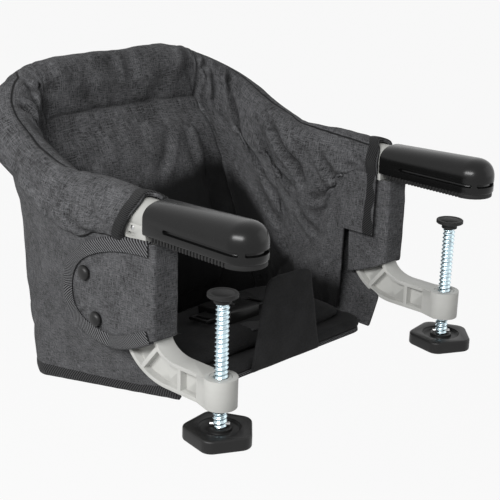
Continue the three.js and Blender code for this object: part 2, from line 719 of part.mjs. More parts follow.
// Outline of the clamp arm's beam in Y and Z, shrunk on all sides for the pockets beside its web
function beamOutline(inset, end) {
  const top = -BEAM_TOP - inset;
  const bottom = -BEAM_TOP - BEAM_HEIGHT + inset;
  const front = SPINE_FRONT + inset;
  const rear = SPINE_FRONT + SPINE_DEPTH - inset;
  const spineTop = foldAxisZ - SPINE_TOP_DROP - inset;
  const innerY = SPINE_FRONT - INNER_BEND_LENGTH;
  const innerZ = -BEAM_TOP + INNER_BEND_HEIGHT;
  const outerY = SPINE_FRONT + SPINE_DEPTH - OUTER_BEND_LENGTH;
  const outerZ = -BEAM_TOP - BEAM_HEIGHT + OUTER_BEND_HEIGHT;
  const shape = new THREE.Shape();
  shape.moveTo(front, spineTop);
  shape.lineTo(front, innerZ);
  const innerLength = INNER_BEND_LENGTH + inset;
  const innerHeight = INNER_BEND_HEIGHT + inset;
  shape.absellipse(innerY, innerZ, innerLength, innerHeight, 0, -Math.PI / 2, true);
  shape.lineTo(end, top);
  shape.lineTo(end, bottom);
  const outerLength = OUTER_BEND_LENGTH - inset;
  const outerHeight = OUTER_BEND_HEIGHT - inset;
  shape.absellipse(outerY, outerZ, outerLength, outerHeight, -Math.PI / 2, 0, false);
  shape.lineTo(rear, spineTop);
  return shape;
}

// Stiffening ribs across the beam: each lies on its middle point, turned by an angle.
function clampRibs() {
  const long = SPINE_DEPTH + BEAM_HEIGHT;
  const wide = CLAMP_WIDTH + OVERRUN;
  const spineMiddle = SPINE_FRONT + SPINE_DEPTH / 2;
  const beamMiddle = -BEAM_TOP - BEAM_HEIGHT / 2;
  const cornerY = SPINE_FRONT + FLANGE_THICKNESS + RIB_THICKNESS;
  const spineTop = foldAxisZ - SPINE_TOP_DROP;
  const spineLength = BEAM_TOP - INNER_BEND_HEIGHT + spineTop;
  const thirdShares = [1 / 3, 2 / 3];
  const places = [
    [-INNER_BEND_LENGTH + RIB_THICKNESS / 2, beamMiddle, Math.PI / 2],
    [cornerY, beamMiddle + INNER_BEND_HEIGHT * 0.6, -Math.PI / 3.6],
    ...thirdShares.map((share) => [spineMiddle, spineTop - spineLength * share, 0]),
  ];
  return places.map(([y, z, angle]) =>
    new THREE.BoxGeometry(wide, long, RIB_THICKNESS).rotateX(angle).translate(0, y, z),
  );
}

function clampArm(side) {
  const half = CLAMP_WIDTH / 2;
  const bossRadius = BOSS_DIAMETER / 2;
  const flareStart = clampScrewY + BOSS_DIAMETER * 0.66;
  const beam = sidePlate(beamOutline(0, clampScrewY), -half, half);
  const pocketShape = beamOutline(FLANGE_THICKNESS, flareStart);
  const pockets = [
    sidePlate(pocketShape, WEB_THICKNESS / 2, half + OVERRUN),
    sidePlate(pocketShape, -half - OVERRUN, -WEB_THICKNESS / 2),
  ].map((pocket) => cut(pocket, ...clampRibs()));
  const at = (y, z) => new THREE.Vector3(0, y, z);
  const boss = bar(bossRadius, at(clampScrewY, -BOSS_BOTTOM), at(clampScrewY, -BOSS_TOP), FINE_SIDES);
  const flare = new THREE.Shape([
    new THREE.Vector2(-half, flareStart),
    new THREE.Vector2(-bossRadius, clampScrewY),
    new THREE.Vector2(bossRadius, clampScrewY),
    new THREE.Vector2(half, flareStart),
  ]);
  const flarePlate = topPlate(flare, -BEAM_TOP - BEAM_HEIGHT, -BEAM_TOP);
  const knuckle = bar(
    KNUCKLE_RADIUS,
    at(knuckleFront, foldAxisZ),
    at(knuckleRear, foldAxisZ),
    FINE_SIDES,
  );
  const neckLow = foldAxisZ - SPINE_TOP_DROP - FLANGE_THICKNESS;
  const neck = block(-KNUCKLE_RADIUS, KNUCKLE_RADIUS, knuckleFront, knuckleRear, neckLow, foldAxisZ);
  const body = join(cut(beam, ...pockets), boss, flarePlate, knuckle, neck);
  const insertHole = bar(
    INSERT_DIAMETER / 2 + CLEARANCE,
    at(clampScrewY, -BOSS_BOTTOM - OVERRUN),
    at(clampScrewY, -BOSS_TOP + OVERRUN),
    FINE_SIDES,
  );
  const hole = pinHole(0, CLEARANCE);
  return cut(body, insertHole, hole).translate(side * armX, 0, 0);
}

function threadInsert(side) {
  const inner = SCREW_DIAMETER / 2 + SCREW_RUNNING_GAP;
  const outer = INSERT_DIAMETER / 2;
  const height = BOSS_BOTTOM - BOSS_TOP;
  const profile = [
    [inner, 0],
    [outer, 0],
    [outer, height],
    [inner, height],
    [inner, 0],
  ];
  const origin = new THREE.Vector3(side * armX, clampScrewY, -BOSS_BOTTOM);
  return turned(profile, origin, ALONG_Z, PIN_SIDES);
}

const padNeckBottom = -TABLE_THICKNESS - SWIVEL_PAD_FACE - SWIVEL_PAD_NECK;
const threadTop = padNeckBottom - CLEARANCE;
const shankRadius = SCREW_DIAMETER / 2 - THREAD_DEPTH;
const shankBottom = -KNOB_TOP - KNOB_THICKNESS + KNOB_FLOOR + CLEARANCE;
const knobPinZ = -KNOB_TOP + KNOB_PIN_LIFT;

// A right-hand thread: the crest climbs one pitch in each turn about +Z.
function clampScrew(side) {
  const x = side * armX;
  const ring = (radiusAt, z) =>
    range(SCREW_SIDES).map((i) => {
      const angle = (2 * Math.PI * i) / SCREW_SIDES;
      const radius = radiusAt(i / SCREW_SIDES);
      return new THREE.Vector3(x + radius * Math.cos(angle), clampScrewY + radius * Math.sin(angle), z);
    });
  const step = THREAD_PITCH / SCREW_STEPS_PER_TURN;
  const threadBottom = -KNOB_TOP + step;
  const count = Math.floor((threadTop - threadBottom) / step);
  const rings = [ring(() => shankRadius, shankBottom), ring(() => shankRadius, -KNOB_TOP)];
  range(count + 1).forEach((i) => {
    const z = threadTop - (count - i) * step;
    const turns = z / THREAD_PITCH;
    const depthAt = (around) => {
      const phase = turns - around;
      return THREAD_DEPTH * Math.abs(2 * (phase - Math.floor(phase)) - 1);
    };
    rings.push(ring((around) => SCREW_DIAMETER / 2 - depthAt(around), z));
  });
  const tip = SCREW_TIP_DIAMETER / 2;
  const tipTop = threadTop + SCREW_TIP_LENGTH;
  rings.push(ring(() => tip, threadTop), ring(() => tip, tipTop));
  const pin = knobPinShape(side, KNOB_PIN_DIAMETER / 2 + CLEARANCE);
  return cut(loft(rings), pin);
}

function knobPinShape(side, radius) {
  const angle = THREE.MathUtils.degToRad(KNOB_PIN_TURN);
  const reach = new THREE.Vector3(Math.cos(angle), Math.sin(angle), 0);
  const middle = new THREE.Vector3(side * armX, clampScrewY, knobPinZ);
  const start = middle.clone().addScaledVector(reach, -KNOB_PIN_LENGTH / 2);
  const end = middle.clone().addScaledVector(reach, KNOB_PIN_LENGTH / 2);
  return bar(radius, start, end, 12);
}

function swivelPad(side) {
  const neck = SWIVEL_PAD_NECK_DIAMETER / 2;
  const face = SWIVEL_PAD_DIAMETER / 2;
  const socket = SCREW_TIP_DIAMETER / 2 + CLEARANCE;
  const height = SWIVEL_PAD_NECK + SWIVEL_PAD_FACE;
  const profile = [
    [socket, 0],
    [neck, 0],
    [neck, SWIVEL_PAD_NECK],
    [face, SWIVEL_PAD_NECK],
    [face, height],
    [0, height],
    [0, SWIVEL_PAD_NECK + CLEARANCE],
    [socket, SWIVEL_PAD_NECK + CLEARANCE],
    [socket, 0],
  ];
  const origin = new THREE.Vector3(side * armX, clampScrewY, padNeckBottom);
  return turned(profile, origin, ALONG_Z, PIN_SIDES);
}

function knob(side) {
  const reach = KNOB_CORNER_REACH - KNOB_CORNER_RADIUS;
  const half = Math.PI / KNOB_CORNERS;
  const outline = new THREE.Shape();
  range(KNOB_CORNERS).forEach((i) => {
    const angle = THREE.MathUtils.degToRad(KNOB_CORNER_TURN) + 2 * half * i;
    const centre = [reach * Math.cos(angle), reach * Math.sin(angle)];
    outline.absarc(...centre, KNOB_CORNER_RADIUS, angle - half, angle + half);
  });
  const body = new THREE.ExtrudeGeometry(outline, {
    depth: KNOB_THICKNESS - 2 * KNOB_BEVEL,
    bevelThickness: KNOB_BEVEL,
    bevelSize: KNOB_BEVEL,
    bevelOffset: -KNOB_BEVEL,
    bevelSegments: 2,
    curveSegments: 3,
    steps: 1,
  });
  body.translate(0, 0, KNOB_BEVEL - KNOB_THICKNESS);
  const dishProfile = [
    [KNOB_COLLAR_DIAMETER / 2, -KNOB_DISH_DEPTH],
    [KNOB_DISH_DIAMETER / 2, -KNOB_DISH_DEPTH],
    [KNOB_DISH_DIAMETER / 2, OVERRUN],
    [KNOB_COLLAR_DIAMETER / 2, OVERRUN],
    [KNOB_COLLAR_DIAMETER / 2, -KNOB_DISH_DEPTH],
  ];
  const dish = turned(dishProfile, new THREE.Vector3(), ALONG_Z);
  const boreFloor = new THREE.Vector3(0, 0, KNOB_FLOOR - KNOB_THICKNESS);
  const boreMouth = new THREE.Vector3(0, 0, OVERRUN);
  const bore = bar(shankRadius + CLEARANCE, boreFloor, boreMouth);
  return cut(body, dish, bore).translate(side * armX, clampScrewY, -KNOB_TOP);
}

// How far the sleeve's skirt hangs below the tube axis, outside and inside the seat
function skirtDrops(distance) {
  const d = Math.min(distance, 2 * railHalf - distance);
  const side = smooth((d - railAtY(HUB_REAR)) / HUB_REAR);
  const inside = smooth((d - armLength) / cornerLength);
  const toCorner = smooth((d - armLength + RISE_REACH) / RISE_REACH);
  const toBack = smooth((d - armLength - cornerLength / 2) / cornerLength);
  const onArm = mix(SLEEVE_SKIRT_FRONT, SLEEVE_SKIRT_SIDE, side);
  const outer = mix(mix(onArm, SLEEVE_SKIRT_CORNER, toCorner), SLEEVE_SKIRT_BACK, toBack);
  return { outer, inner: mix(onArm, SLEEVE_SKIRT_BACK, inside) };
}

// Points of the sleeve's cross-section from the outer skirt's edge over the tube to the inner
// one: [away from the seat, above the tube axis].
function sleeveContour(halfWidth, crown, drawIn, drops, archSteps) {
  const skirtShares = [1, 0.55];
  const outer = skirtShares.map((t) => [halfWidth - drawIn * t * t, -drops.outer * t]);
  const inner = skirtShares.map((t) => [-halfWidth + drawIn * t * t, -drops.inner * t]).reverse();
  const arch = range(archSteps + 1).map((i) => {
    const angle = (Math.PI * i) / archSteps;
    return [halfWidth * Math.cos(angle), crown * Math.sin(angle)];
  });
  return [...outer, ...arch, ...inner];
}

// Places a contour at a distance along the tube. The front end of the sleeve leans back.
function sleevePoints(contour, distance) {
  const fromFront = Math.min(distance, 2 * railHalf - distance) - railAtY(SLEEVE_FRONT);
  const slant = SLEEVE_FRONT_SLANT_SHARE * (1 - smooth(fromFront / SLEEVE_SLANT_REACH));
  const way = distance > railHalf ? -1 : 1;
  return contour.map(([away, up]) => {
    const { point, outward } = rail(distance + way * slant * (SLEEVE_CROWN - up));
    return point.addScaledVector(outward, away).add(new THREE.Vector3(0, 0, up));
  });
}

function sleeveRing(distance) {
  const d = Math.min(distance, 2 * railHalf - distance);
  const drops = skirtDrops(distance);
  const onHub = d < railAtY(HUB_REAR + OVERRUN);
  const level = Math.hypot(railTangent(distance).x, railTangent(distance).y);
  const roof = onHub ? HUB_RADIUS + 2 * CLEARANCE : (tubeRadius + SLEEVE_TUBE_GAP) / level;
  const outside = sleeveContour(SLEEVE_HALF_WIDTH, SLEEVE_CROWN, SLEEVE_DRAW_IN, drops, 8);
  const inside = sleeveContour(SLEEVE_HALF_WIDTH - SLEEVE_PADDING, roof, 0, drops, 6).reverse();
  return sleevePoints([...outside, ...inside], distance);
}

const seamDistance = railHalf - SLEEVE_SEAM_PLACE;

function armSleeve(side) {
  const front = railAtY(SLEEVE_FRONT);
  const afterHub = railAtY(HUB_REAR + OVERRUN);
  const onHub = [front, mix(front, afterHub, 0.5), afterHub - CLEARANCE];
  const onArm = range(6).map((i) => mix(afterHub + OVERRUN, armLength, i / 6));
  const onCorner = range(6).map((i) => armLength + (cornerLength * i) / 5);
  const places = [...onHub, ...onArm, ...onCorner, seamDistance];
  const along = (d) => (side < 0 ? d : 2 * railHalf - d);
  return loft(places.map((d) => sleeveRing(along(d))));
}

function backRoll() {
  const start = seamDistance + CLEARANCE;
  const end = 2 * railHalf - start;
  return loft(range(7).map((i) => sleeveRing(mix(start, end, i / 6))));
}

// A strip of binding round the front end of the sleeve
function sleeveBinding(side) {
  const start = railAtY(SLEEVE_FRONT);
  const along = (d) => (side < 0 ? d : 2 * railHalf - d);
  const ring = (distance) => {
    const drops = skirtDrops(distance);
    const layer = (grown) =>
      sleeveContour(
        SLEEVE_HALF_WIDTH + grown,
        SLEEVE_CROWN + grown,
        SLEEVE_DRAW_IN,
        drops,
        8,
      );
    const outer = layer(CLEARANCE + BINDING_THICKNESS);
    return sleevePoints([...outer, ...layer(CLEARANCE).reverse()], distance);
  };
  return loft([0, 0.5, 1].map((share) => ring(along(start + share * BINDING_WIDTH))));
}

const baseBottomZ = (y) => -BASE_FRONT_DROP - (y - BASE_FRONT) * baseSlope;
const baseWiden = (BASE_REAR_WIDTH - BASE_FRONT_WIDTH) / 2 / (BASE_BACK - BASE_FRONT);
const baseHalf = (y) => BASE_FRONT_WIDTH / 2 + (y - BASE_FRONT) * baseWiden;
const wallBottomOffset = CLEARANCE + WALL_THICKNESS;
const flapInnerFace = CLAMP_WIDTH / 2 + FLAP_OUTER_GAP;
const wallFlat = armX + flapInnerFace - CLEARANCE;
const wallTop = armX + wallOffset;
const tuckStartShare = 0.95;

// The wall's outer outline seen from above, at a share of its height
function wallOutline(share) {
  const tuck = smooth((share - tuckStartShare) / (1 - tuckStartShare));
  const grow = 1 - (1 - Math.min(share / tuckStartShare, 1)) ** 2;
  const corner = baseHalf(BASE_BACK) + wallBottomOffset;
  const front = baseHalf(WALL_FRONT) + wallBottomOffset;
  const lean = WALL_LEAN_SHARE * (BACK_RISE + BASE_FRONT_DROP + ARM_HEIGHT);
  const backTop = BACK_DEPTH + wallOffset;
  const backBottom = BASE_BACK + wallBottomOffset;
  const flare = (backTop - backBottom - lean) * share ** WALL_FLARE_POWER;
  const topRadius = BACK_CORNER_RADIUS + wallOffset;
  return {
    sideFront: mix(mix(front, wallFlat, grow), wallTop, tuck),
    sideRear: mix(mix(corner, wallFlat, Math.min(share / tuckStartShare, 1)), wallTop, tuck),
    back: backBottom + lean * share + flare,
    radius: mix(BASE_REAR_CORNER + wallBottomOffset, topRadius, share ** WALL_CORNER_POWER),
  };
}

// Places along half of the wall: how far along the side, round the corner or across the back
const wallStations = [
  ...range(6).map((i) => ({ part: "side", share: i / 6 })),
  ...range(6).map((i) => ({ part: "corner", share: i / 6 })),
  ...range(5).map((i) => ({ part: "back", share: i / 4 })),
];

// Height of the wall's top edge above a station
function wallTopZ({ part, share }) {
  const sideEnd = BACK_DEPTH - BACK_CORNER_RADIUS;
  const distance = {
    side: railAtY(mix(WALL_FRONT, sideEnd, share)),
    corner: armLength + share * cornerLength,
    back: armLength + cornerLength + share * backHalf,
  }[part];
  return rail(distance).point.z - WALL_TUCK;
}

// A point of the right half of the wall, moved out from its outer face
function wallPoint(station, heightShare, out) {
  const { part, share } = station;
  const line = wallOutline(heightShare);
  const radius = line.radius + out;
  const back = line.back + out;
  const cornerY = line.back - line.radius;
  const cornerX = -line.sideRear + line.radius;
  const point = new THREE.Vector3();
  if (part === "side") {
    const x = mix(line.sideFront, line.sideRear, share) + out;
    point.set(-x, mix(WALL_FRONT, cornerY, share), 0);
  } else if (part === "corner") {
    const angle = (share * Math.PI) / 2;
    point.set(cornerX - radius * Math.cos(angle), cornerY + radius * Math.sin(angle), 0);
  } else {
    point.set(mix(cornerX, 0, share), back, 0);
  }
  const foot = wallFootY(station);
  point.z = mix(baseBottomZ(foot), wallTopZ(station), heightShare);
  return point;
}

// How far back the wall's bottom edge lies at a station
function wallFootY({ part, share }) {
  const line = wallOutline(0);
  const cornerY = line.back - line.radius;
  const angle = (share * Math.PI) / 2;
  return {
    side: mix(WALL_FRONT, cornerY, share),
    corner: cornerY + line.radius * Math.sin(angle),
    back: line.back,
  }[part];
}

// A closed ring round the wall's outer and inner face at a share of its height
function wallRing(heightShare, outer, inner) {
  const half = (out) => wallStations.map((station) => wallPoint(station, heightShare, out));
  const whole = (out) => {
    const right = half(out);
    const left = right.slice(0, -1).reverse();
    return [...right, ...left.map((p) => new THREE.Vector3(-p.x, p.y, p.z))];
  };
  return [...whole(outer), ...whole(inner).reverse()];
}

const hemTopShare = HEM_HEIGHT / (BASE_FRONT_DROP + ARM_HEIGHT);

function seatShell() {
  const levelShares = [0, hemTopShare, 0.35, 0.65, 0.85, tuckStartShare, 1];
  return loft(levelShares.map((share) => wallRing(share, 0, -WALL_THICKNESS)));
}

// How far back the inner face of the back wall lies at a height
function wallInnerY(z) {
  const station = { part: "back", share: 1 };
  const low = baseBottomZ(wallFootY(station));
  const share = (z - low) / (wallTopZ(station) - low);
  return wallOutline(share).back - WALL_THICKNESS;
}

// Points up one column of the side lining, from the base to inside the sleeve, at a share of
// the way from its front edge round the corner to the back cushion. Its hidden face lies out
// from the face towards the child.
function liningColumn(share, out) {
  const offset = wallOffset - CLEARANCE - out;
  const top = { side: armX - offset, back: BACK_DEPTH - offset, radius: BACK_CORNER_RADIUS - offset };
  const footBack = BASE_BACK - LINING_THICKNESS + out;
  const end = BACK_CUSHION_WIDTH / 2 + SLEEVE_WALL_GAP;
  const sideShare = 0.5;
  const cornerShare = 0.9;
  const turn = clampShare((share - sideShare) / (cornerShare - sideShare)) * (Math.PI / 2);
  const along = clampShare(share / sideShare);
  const across = clampShare((share - cornerShare) / (1 - cornerShare));
  const distance =
    mix(railAtY(WALL_FRONT), armLength, along) + (turn * 2 * cornerLength) / Math.PI;
  const axisZ = rail(distance).point.z;
  const bendDrop = LINING_BEND_DROP * Math.cos(turn) ** 6 + 2 * CLEARANCE;
  const skirtZ = axisZ - skirtDrops(distance).inner - bendDrop;
  const footZ = baseBottomZ(BASE_BACK) + BASE_THICKNESS + CLEARANCE;
  const column = [0, 0.4, 0.75, 0.9, 1].map((level) => {
    const radius = mix(BASE_REAR_CORNER, top.radius, level);
    const wall = wallInnerY(mix(footZ, skirtZ, level)) - LINING_WALL_GAP;
    const limit = level < 1 ? wall - LINING_THICKNESS + out : top.back;
    const back = Math.min(mix(footBack, top.back, level), limit);
    const corner = back - radius;
    const half = (y) => mix(baseHalf(y) - LINING_THICKNESS + out, top.side, level);
    const y = mix(WALL_FRONT, corner, along) + radius * Math.sin(turn);
    const round = half(corner) - radius * (1 - Math.cos(turn));
    const x = share < sideShare ? half(y) : mix(round, end, across);
    const low = baseBottomZ(y) + BASE_THICKNESS + CLEARANCE;
    return new THREE.Vector3(x, y, mix(low, skirtZ, level));
  });
  return [...column, column.at(-1).clone().setZ(axisZ - WALL_TUCK)];
}

function sideLining(side) {
  const shares = [0, 0.25, 0.5, 0.6, 0.7, 0.8, 0.9, 1];
  const rings = shares.map((share) => [
    ...liningColumn(share, 0),
    ...liningColumn(share, LINING_THICKNESS).reverse(),
  ]);
  const piece = loft(rings);
  if (side < 0) {
    piece.scale(-1, 1, 1);
  }
  return facingOut(piece);
}

function baseHem() {
  return loft([0, hemTopShare].map((share) => wallRing(share, HEM_GAP + HEM_THICKNESS, HEM_GAP)));
}

// What lies on the sloping base is built level, with the origin at the middle of the base's
// front edge on its underside, and then tilted.
function onBase(geometry) {
  const slope = THREE.MathUtils.degToRad(-BASE_SLOPE);
  return geometry.rotateX(slope).translate(0, BASE_FRONT, -BASE_FRONT_DROP);
}

// A board outline with round corners, inset from the base's edge
function baseOutline(inset, rearInset, frontCorner, rearCorner) {
  const depth = BASE_BACK - BASE_FRONT;
  const front = BASE_FRONT_WIDTH / 2 - inset;
  const rear = BASE_REAR_WIDTH / 2 - inset;
  const near = inset;
  const far = depth - rearInset;
  const shape = new THREE.Shape();
  shape.moveTo(-front + frontCorner, near);
  shape.lineTo(front - frontCorner, near);
  shape.quadraticCurveTo(front, near, front + frontCorner * baseWiden, near + frontCorner);
  shape.lineTo(rear - rearCorner * baseWiden, far - rearCorner);
  shape.quadraticCurveTo(rear, far, rear - rearCorner, far);
  shape.lineTo(-rear + rearCorner, far);
  shape.quadraticCurveTo(-rear, far, -rear + rearCorner * baseWiden, far - rearCorner);
  shape.lineTo(-front - frontCorner * baseWiden, near + frontCorner);
  shape.quadraticCurveTo(-front, near, -front + frontCorner, near);
  return shape;
}

function baseBoard() {
  const outline = baseOutline(0, 0, BASE_FRONT_CORNER, BASE_REAR_CORNER);
  return onBase(topPlate(outline, 0, BASE_THICKNESS, 4));
}

const seatPadBottom = BASE_THICKNESS + CLEARANCE;
const seatPadFar = BASE_BACK - BASE_FRONT - SEAT_PAD_REAR_INSET;
const seatPadHalf = (y) => baseHalf(y + BASE_FRONT) - SEAT_PAD_INSET;
const edgeFall = (share) => Math.sqrt(Math.max(0, 1 - Math.abs(share) ** 5));

// Height of the seat pad's crowned top above the base's underside
function seatPadTop(x, y) {
  const across = x / seatPadHalf(y);
  const along = (2 * (y - SEAT_PAD_INSET)) / (seatPadFar - SEAT_PAD_INSET) - 1;
  const crown = SEAT_PAD_CROWN * Math.max(0, 1 - across * across) * Math.max(0, 1 - along * along);
  const body = SEAT_PAD_THICKNESS * (0.3 + 0.7 * edgeFall(across) * edgeFall(along));
  return seatPadBottom + body + crown;
}

function seatPad() {
  const columnShares = [-1, -0.94, -0.8, -0.5, -0.2, 0.2, 0.5, 0.8, 0.94, 1];
  const rowShares = [0, 0.04, 0.12, 0.35, 0.65, 0.88, 0.96, 1];
  const cornerShare = 0.1;
  const spot = (row, column) => {
    const y = mix(SEAT_PAD_INSET, seatPadFar, row);
    const end = Math.max(0, 1 - Math.min(row, 1 - row) / cornerShare);
    const narrow = SEAT_PAD_INSET * end * end;
    return new THREE.Vector3(column * (seatPadHalf(y) - narrow), y, seatPadBottom);
  };
  const bottom = rowShares.map((row) => columnShares.map((column) => spot(row, column)));
  const top = bottom.map((row, r) =>
    row.map((p, c) => {
      const edge = r === 0 || r === rowShares.length - 1 || c === 0 || c === columnShares.length - 1;
      const lift = edge ? SEAT_PAD_THICKNESS * 0.3 : seatPadTop(p.x, p.y) - seatPadBottom;
      return p.clone().setZ(seatPadBottom + lift);
    }),
  );
  return onBase(closedSheets(top, bottom));
}

function backCushion() {
  const bottomZ = baseBottomZ(BASE_BACK) + BACK_CUSHION_LIFT;
  const height = BACK_CUSHION_TOP - bottomZ;
  const rowShares = [0, 0.03, 0.1, 0.3, 0.5, 0.71, 0.82, 0.91, 0.97, 1];
  const columns = 4 * BACK_CUSHION_PLEATS;
  const rounding = (length, radius) => {
    const t = Math.max(0, 1 - length / radius);
    return radius * (1 - Math.sqrt(1 - t * t));
  };
  const halfWidth = (up) =>
    BACK_CUSHION_WIDTH / 2 -
    rounding(height - up, BACK_CUSHION_TOP_CORNER) -
    rounding(up, BACK_CUSHION_BOTTOM_CORNER);
  const spot = (row, column) => {
    const up = row * height;
    const z = bottomZ + up;
    const x = (2 * (column / columns) - 1) * halfWidth(up);
    return new THREE.Vector3(x, wallInnerY(z) - CLEARANCE, z);
  };
  const back = rowShares.map((row) => range(columns + 1).map((column) => spot(row, column)));
  const front = back.map((row, r) =>
    row.map((p, c) => {
      const across = 2 * (c / columns) - 1;
      const up = 2 * rowShares[r] - 1;
      const edge = r === 0 || r === rowShares.length - 1 || c === 0 || c === columns;
      const full = edgeFall(across) * edgeFall(up);
      const crown = BACK_CUSHION_CROWN * (1 - across * across) * (1 - up * up);
      const pleat = BACK_CUSHION_PLEAT_DEPTH * Math.cos(c * Math.PI) * 0.5;
      const thick = BACK_CUSHION_THICKNESS * (edge ? 0.25 : 0.25 + 0.75 * full);
      return p.clone().setY(p.y - thick - (edge ? 0 : (crown + pleat) * full));
    }),
  );
  return closedSheets(front, back);
}

// A shape drawn from the front, in X and Z, that spans from one Y to another
function frontPlate(shape, fromY, toY, curveSegments = 6) {
  const origin = new THREE.Vector3(0, toY, 0);
  const towardsTable = ALONG_Y.clone().negate();
  return laid(plate(shape, toY - fromY, curveSegments), ALONG_X, ALONG_Z, towardsTable, origin);
}

function crotchPanel() {
  const bottom = CROTCH_BOTTOM_WIDTH / 2;
  const top = CROTCH_TOP_WIDTH / 2;
  const shape = new THREE.Shape();
  shape.moveTo(-bottom, -BASE_FRONT_DROP);
  shape.lineTo(bottom, -BASE_FRONT_DROP);
  shape.lineTo(top, -CROTCH_TOP_DROP - CROTCH_CORNER);
  shape.quadraticCurveTo(top, -CROTCH_TOP_DROP, top - CROTCH_CORNER, -CROTCH_TOP_DROP);
  shape.lineTo(-top + CROTCH_CORNER, -CROTCH_TOP_DROP);
  shape.quadraticCurveTo(-top, -CROTCH_TOP_DROP, -top, -CROTCH_TOP_DROP - CROTCH_CORNER);
  const rear = BASE_FRONT - CLEARANCE;
  return frontPlate(shape, rear - CROTCH_THICKNESS, rear);
}

// The flap's outline from the side, in Y and Z, grown or shrunk
function flapOutline(inset) {
  const front = FLAP_FRONT_GAP - OVERRUN;
  const rear = FLAP_REAR - inset;
  const low = -FLAP_LOW_DROP + inset;
  const shape = new THREE.Shape();
  shape.moveTo(front, -FLAP_TOP_FRONT - inset);
  shape.quadraticCurveTo(
    FLAP_LOW_PLACE,
    -FLAP_TOP_FRONT - inset,
    FLAP_TOP_CORNER - inset / 2,
    -FLAP_TOP_REAR - inset,
  );
  shape.quadraticCurveTo(rear, -FLAP_TOP_REAR - FLAP_TOP_FRONT * 5 - inset, rear, -FLAP_REAR_DROP);
  shape.quadraticCurveTo(rear, low, FLAP_LOW_PLACE, low);
  shape.quadraticCurveTo(SPINE_DEPTH - SPINE_FRONT, low, front, -FLAP_FRONT_DROP + inset);
  return shape;
}

const flapOuter = flapInnerFace + FLAP_THICKNESS;

// The flap wraps the spine of the clamp arm: outside, in front and inside. Drawn for an arm
// whose outside is at positive X.
function flap(side) {
  const front = FLAP_FRONT_GAP;
  const turn = front + FLAP_THICKNESS;
  const inner = -CLAMP_WIDTH / 2 - FLAP_INNER_GAP;
  const innerFar = WALL_FRONT - OVERRUN;
  const bend = FLAP_THICKNESS;
  const wrap = new THREE.Shape();
  wrap.moveTo(flapOuter, FLAP_REAR + OVERRUN);
  wrap.lineTo(flapInnerFace, FLAP_REAR + OVERRUN);
  wrap.lineTo(flapInnerFace, turn);
  wrap.lineTo(inner, turn);
  wrap.lineTo(inner, innerFar);
  wrap.lineTo(inner - FLAP_THICKNESS, innerFar);
  wrap.lineTo(inner - FLAP_THICKNESS, front + bend);
  wrap.quadraticCurveTo(inner - FLAP_THICKNESS, front, inner - FLAP_THICKNESS + bend, front);
  wrap.lineTo(flapOuter - bend, front);
  wrap.quadraticCurveTo(flapOuter, front, flapOuter, front + bend);
  const walls = topPlate(wrap, -FLAP_LOW_DROP - OVERRUN, 0, 3);
  const span = flapOuter + OVERRUN;
  const profile = sidePlate(flapOutline(0), -span, span, 7);
  const piece = common(walls, profile);
  return mirroredTo(side, piece);
}

// Moves a piece drawn with its outside at positive X to its arm.
function mirroredTo(side, geometry) {
  if (side < 0) {
    geometry.scale(-1, 1, 1);
  }
  return facingOut(geometry.translate(side * armX, 0, 0));
}

function flapBinding(side) {
  const low = flapOuter + CLEARANCE;
  const whole = sidePlate(flapOutline(0), low, low + BINDING_THICKNESS, 7);
  const middle = sidePlate(flapOutline(FLAP_BINDING_WIDTH), low - OVERRUN, low + OVERRUN, 7);
  const front = block(0, 2 * armX, -OVERRUN * 2, FLAP_FRONT_GAP + FLAP_THICKNESS, -BEAM_TOP * 2, OVERRUN);
  return mirroredTo(side, cut(whole, middle, front));
}

function snap(side, place, drop) {
  const radius = SNAP_DIAMETER / 2;
  const profile = [
    [0, 0],
    [radius, 0],
    [radius * 0.96, SNAP_HEIGHT * 0.4],
    [radius * 0.72, SNAP_HEIGHT * 0.8],
    [radius * 0.35, SNAP_HEIGHT],
    [0, SNAP_HEIGHT],
  ];
  const base = side * (armX + flapOuter + CLEARANCE);
  const outward = new THREE.Vector3(side, 0, 0);
  return turned(profile, new THREE.Vector3(base, place, -drop), outward, PIN_SIDES);
}

// A flat strap along points on the base, each with its top height from the seat pad below it
function strap(points, width, thickness) {
  const flat = points.map(([x, y]) => new THREE.Vector2(x, y));
  const rings = flat.map((p, i) => {
    const before = flat[Math.max(i - 1, 0)];
    const after = flat[Math.min(i + 1, flat.length - 1)];
    const ahead = after.clone().sub(before).normalize();
    const beside = new THREE.Vector2(-ahead.y, ahead.x).multiplyScalar(width / 2);
    const left = p.clone().add(beside);
    const right = p.clone().sub(beside);
    const low = Math.max(...[left, p, right].map((q) => seatPadTop(q.x, q.y))) + CLEARANCE;
    return [
      new THREE.Vector3(left.x, left.y, low),
      new THREE.Vector3(right.x, right.y, low),
      new THREE.Vector3(right.x, right.y, low + thickness),
      new THREE.Vector3(left.x, left.y, low + thickness),
    ];
  });
  return onBase(loft(rings));
}

const buckleY = BUCKLE_PLACE - BASE_FRONT;
const buckleFloor = seatPadBottom + SEAT_PAD_THICKNESS + SEAT_PAD_CROWN + CLEARANCE;
const tongueFloor = buckleFloor + (BUCKLE_THICKNESS - TONGUE_THICKNESS) / 2;

function crotchStrap() {
  const startShare = 0.12;
  const start = mix(SEAT_PAD_INSET, seatPadFar, startShare);
  const end = buckleY - BUCKLE_LENGTH / 2 - CLEARANCE;
  return strap(range(5).map((i) => [0, mix(start, end, i / 4)]), WEBBING_WIDTH, WEBBING_THICKNESS);
}

